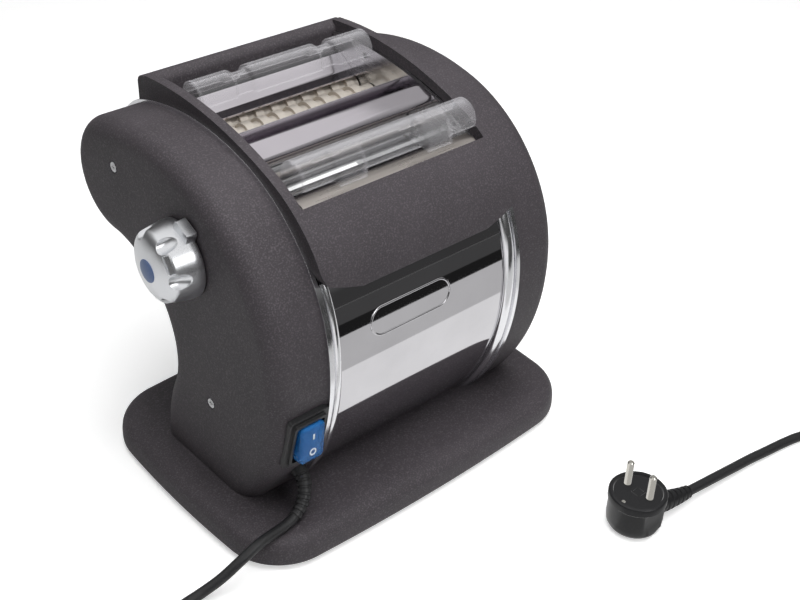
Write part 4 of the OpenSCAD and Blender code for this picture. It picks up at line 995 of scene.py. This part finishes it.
def cut_depth(points):
    """How far outside the cutters a point lies, less than nothing inside: for a scoop the
    distance to a ring of radius SCOOP_SWEEP less SCOOP_R, for the notch that to a box."""
    x, y, z = cutter_place(points, SCOOP_ANGLE + 180 / SCOOPS, NOTCH_UP, NOTCH_OUT, NOTCH_TILT)
    depth = np.maximum(np.maximum(abs(x) - NOTCH_W / 2, abs(z) - NOTCH_L / 2), -y - NOTCH_FLOOR)
    for k in range(SCOOPS):
        x, y, z = cutter_place(points, SCOOP_ANGLE + 360 / SCOOPS * k, SCOOP_UP, SCOOP_OUT,
                               SCOOP_TILT)
        ring = np.hypot(x, y - SCOOP_SWEEP - SCOOP_R) - SCOOP_SWEEP
        depth = np.minimum(depth, np.hypot(ring, z) - SCOOP_R)
    return depth


def knob_points(up, out, cos_a, sin_a):
    """Points on the knob at those heights and radii, for the cos and sin of their angles."""
    y, z = KNOB_AT[0] + out * cos_a, KNOB_AT[1] + out * sin_a
    return np.stack(np.broadcast_arrays(-KNOB_X - up, y, z), -1).reshape(-1, 3)


def make_knob():
    """The profile turned about X. Each point inside a cutter goes in along its normal, in
    steps, until it is out. The end on the machine and the cap's seat are closed."""
    line = knob_profile()
    way = np.gradient(line, axis=0)
    way /= np.linalg.norm(way, axis=1, keepdims=True)
    cos_a, sin_a = circle(400).T
    points = knob_points(line[:, :1], line[:, 1:], cos_a, sin_a)
    normal = [way[:, 1:], way[:, :1] * cos_a, way[:, :1] * sin_a]
    normal = np.stack(np.broadcast_arrays(*normal), -1).reshape(-1, 3)
    for _ in range(CUT_STEPS):
        inside = cut_depth(points) < -0.01
        points[inside] -= CUT_STEP * normal[inside]
    rings = [knob_points(0.0, SHAFT_R, cos_a, sin_a), *points.reshape(len(line), -1, 3)]
    rings += [knob_points(KNOB_H - CAP_SEAT, r, cos_a, sin_a) for r in (CAP_R - 0.02, 0.02)]
    points, faces = stack_rings(rings)
    root, turn = 5.0, math.radians(TAB_ANGLE)
    tab = rounded_rect(TAB_W, TAB_OUT + root, 1.6, 5) + [0, KNOB_R - root + (TAB_OUT + root) / 2]
    across, out = tab.T
    tab = np.stack([out * math.cos(turn) - across * math.sin(turn),
                    out * math.sin(turn) + across * math.cos(turn)], 1) + KNOB_AT
    pointer = stack_rings([side_ring(-KNOB_X - up, tab) for up in (TAB_T, 0.0)])
    put_mesh("knob_grip", join((points, [face[::-1] for face in faces]), pointer),
             knob_silver, ("gap_knob",), "knob", crease=50, bevel=0.5, segments=3)


knob_silver = metal("knob_silver", (0.8, 0.81, 0.83), 0.3, scratch=0.08, size=2500.0,
                    relief=0.012)
make_knob()
cap_blue = grained("cap_blue", (0.1, 0.17, 0.36), (0.13, 0.2, 0.4), 900, 0.4, roughness=0.35,
                   relief=0.01)
refined("knob_button", "knob_cap", cap_blue, "knob", bevel=0.2, crease=40.0)

# ------------------------------ switch
# A two-pole rocker in a black two-step bezel, under a soft clear-blue boot against flour
# and water. Its marks are the usual I and O.
FRONT_CENTRE = np.array([85.73, 130.97])
FRONT_R = 172.8
SWITCH_ANGLE, SWITCH_X = 193.5, -98.0
ROCKER_TILT, ROCKER_PIVOT = -8.0, 4.0
BOOT_H = 9.5


def switch_ring(outline, y):
    """An outline across and up the switch, at a depth y into it, tilted about the rocker's
    pin and set on the front of the housing at SWITCH_ANGLE."""
    p = np.insert(outline, 1, y, axis=1)
    for angle, middle in ((ROCKER_TILT, ROCKER_PIVOT), (SWITCH_ANGLE - 180.0, 0.0)):
        a = math.radians(angle)
        y, z = p[:, 1] - middle, p[:, 2].copy()
        p[:, 1] = middle + y * math.cos(a) - z * math.sin(a)
        p[:, 2] = y * math.sin(a) + z * math.cos(a)
    return p + [SWITCH_X, *(FRONT_CENTRE + FRONT_R * unit([SWITCH_ANGLE])[0])]


bezel_plastic = grained("bezel_plastic", (0.012, 0.012, 0.013), (0.03, 0.03, 0.03), 1200, 0.4,
                        roughness=0.4, relief=0.02)
refined("bezel", "switch_bezel", bezel_plastic, bevel=0.4, crease=35.0)
dress(["switch_body"], bezel_plastic)
rocker_blue = grained("rocker_blue", (0.002, 0.13, 0.55), (0.004, 0.16, 0.62), 500, 0.3,
                      roughness=0.25, relief=0.004)
refined("rocker", "switch_rocker", rocker_blue, "rocker", bevel=0.6, crease=20.0)


def boot_silicone():
    """Soft blue silicone: half see-through, a shade denser in slow clouds."""
    material, tree, shader = new_material("boot_silicone", Roughness=0.3, Alpha=0.5,
                                          Specular_IOR_Level=0.3)
    cloud = noise(tree, surface_place(tree), 120.0, 2.0)
    feed(shader, Base_Color=blended(tree, cloud, (0.01, 0.16, 0.48, 1), (0.03, 0.22, 0.6, 1)))
    return material


def make_boot():
    """Rings of a rounded rectangle from the bezel up a soft flank and over the rim to a
    flat face, then back down the inside."""
    outer = [(-2.6, 19.0, 30.0, 3.5), (-7.2, 18.8, 29.8, 3.5), (-8.4, 18.2, 29.2, 3.4),
             (-9.1, 17.2, 28.2, 3.0), (-BOOT_H, 15.6, 26.6, 2.4)]
    inner = [(-8.1, 15.4, 26.4, 1.6), (-7.0, 15.6, 26.6, 1.5), (-2.6, 15.6, 26.6, 1.5)]
    rings = [switch_ring(rounded_rect(w, h, r, 8), y) for y, w, h, r in outer + inner]
    count, top = len(rings[0]), len(outer) - 1
    # The face is a closed plate: one cap outside, one inside, and no wall between them
    faces = [face for face in grid_faces(len(rings), count, close_rows=True)
             if face[0] // count != top]
    face_outside = list(range(top * count, (top + 1) * count))
    face_inside = list(range((top + 1) * count, (top + 2) * count))[::-1]
    put_mesh("boot", (np.vstack(rings), faces + [face_outside, face_inside]),
             boot_silicone(), ("switch_boot",), "rocker", crease=50)


make_boot()
mark_white = grained("mark_white", (0.85, 0.86, 0.88), (0.9, 0.9, 0.92), 900, 0.2,
                     roughness=0.4, relief=0.002)


def make_marks():
    """The I is a bar and the O a ring, 0.25 high, printed on the boot's face."""
    low, high = -BOOT_H + 0.05, -BOOT_H - 0.2
    bar = rounded_rect(1.3, 4.6, 0.3, 3) + [0, 6.6]
    bar = stack_rings([switch_ring(bar, low), switch_ring(bar, high)])
    oval = circle(40) * [1, 1.12]
    rings = [switch_ring(r * oval - [0, 6.4], y)
             for r, y in ((2.6, low), (2.6, high), (1.6, high), (1.6, low))]
    loop = np.vstack(rings), grid_faces(4, 40, close_rows=True)
    put_mesh("switch_marks", join(bar, loop), mark_white, body="rocker",
             crease=30)


make_marks()

# ------------------------------ floor and light
# A plain white floor that runs out of view, with soft light from large panels. Level
# cards that only mirrors see give the chrome its broad bands.
FLOOR_REACH = 3.0
CARD_Z = 0.0015


def level_sheet(name, corner, far_corner, z, material):
    """A level rectangle of the stage between two corners, all in metres."""
    (x0, y0), (x1, y1) = corner, far_corner
    mesh = bpy.data.meshes.new(name)
    mesh.from_pydata([(x0, y0, z), (x1, y0, z), (x1, y1, z), (x0, y1, z)], [], [(0, 1, 2, 3)])
    mesh.materials.append(material)
    sheet = into_scene(name, mesh)
    return sheet


def make_floor():
    """A wide white plane. To the eye, also through the clear pieces, it is lifted to white,
    and the machine's own shadow stays on it."""
    material, tree, shader = new_material(
        "floor_white", Base_Color=(0.86, 0.86, 0.86, 1), Roughness=0.9, Specular_IOR_Level=0.1,
        Emission_Color=(1, 1, 1, 1))
    seen = node(tree, "LightPath").outputs
    feed(shader, Emission_Strength=maths(tree, "MULTIPLY", seen["Is Camera Ray"], 0.5))
    level_sheet("floor", (-FLOOR_REACH, -FLOOR_REACH), (FLOOR_REACH, FLOOR_REACH), 0, material)


def make_world():
    """White to the camera past the floor, a dim even surround as light, and in mirrors a
    room that grows paler towards its ceiling."""
    scene.world = bpy.data.worlds.new("studio")
    scene.world.use_nodes = True
    tree = scene.world.node_tree
    seen = node(tree, "LightPath").outputs
    way = node(tree, "SeparateXYZ", Vector=node(tree, "TexCoord").outputs["Generated"])
    room = remap(tree, way.outputs["Z"], 0.1, 0.7, 0.05, 0.5)
    mirrored = node(tree, "Mix", n0=seen["Is Glossy Ray"], n2=0.12, n3=room).outputs[0]
    strength = node(tree, "Mix", n0=seen["Is Camera Ray"], n2=mirrored, n3=1.0).outputs[0]
    feed(tree.nodes["Background"], Color=(1, 1, 1, 1), Strength=strength)


def make_lamp(name, at, aim, size, power):
    """A rectangular panel of light at a place in metres, turned to face another."""
    data = bpy.data.lights.new(name, "AREA")
    data.shape = "RECTANGLE"
    data.size, data.size_y = size
    data.energy = power
    lamp = into_scene(name, data)
    lamp.location = at
    lamp.rotation_mode = "QUATERNION"
    way = np.subtract(aim, at)
    lamp.rotation_quaternion = Vector(way.tolist()).to_track_quat("-Z", "Y")
    return lamp


def make_card(name, corner, far_corner, z, grey):
    """A level card that only mirrors see, of one plain shade."""
    material = new_material(name, Base_Color=(0, 0, 0, 1), Specular_IOR_Level=0.0,
                            Emission_Color=(grey, grey, grey, 1), Emission_Strength=1.0)[0]
    card = level_sheet(name, corner, far_corner, z, material)
    for ray in ("camera", "diffuse", "transmission", "volume_scatter", "shadow"):
        setattr(card, "visible_" + ray, False)


make_floor()
make_world()
make_card("light_card", (-0.1, -0.222), (0.7, -0.03), CARD_Z, 0.98)
make_card("grey_card", (-0.1, -0.435), (0.7, -0.222), CARD_Z, 0.62)
make_card("black_card", (-0.1, -0.67), (0.9, -0.435), CARD_Z, 0.015)
make_card("dark_card", (-0.1, -2.6), (2.6, -0.67), CARD_Z, 0.07)
make_card("softbox", (-1.1, -0.75), (0.51, 0.75), 0.9, 0.92)
# The lead and its plug would draw a dark squiggle in the chrome
for unseen in (lead, plug, plug_face, plug_contacts, frame["nodes"]["plug_pins"]):
    unseen.visible_glossy = False
make_lamp("top_panel", (0.0, -0.25, 1.5), (0, 0, 0.1), (1.2, 1.2), 22.5).visible_glossy = False
make_lamp("front_panel", (0.0, -1.5, 0.95), (0, 0, 0.12), (0.8, 0.6), 5.0)
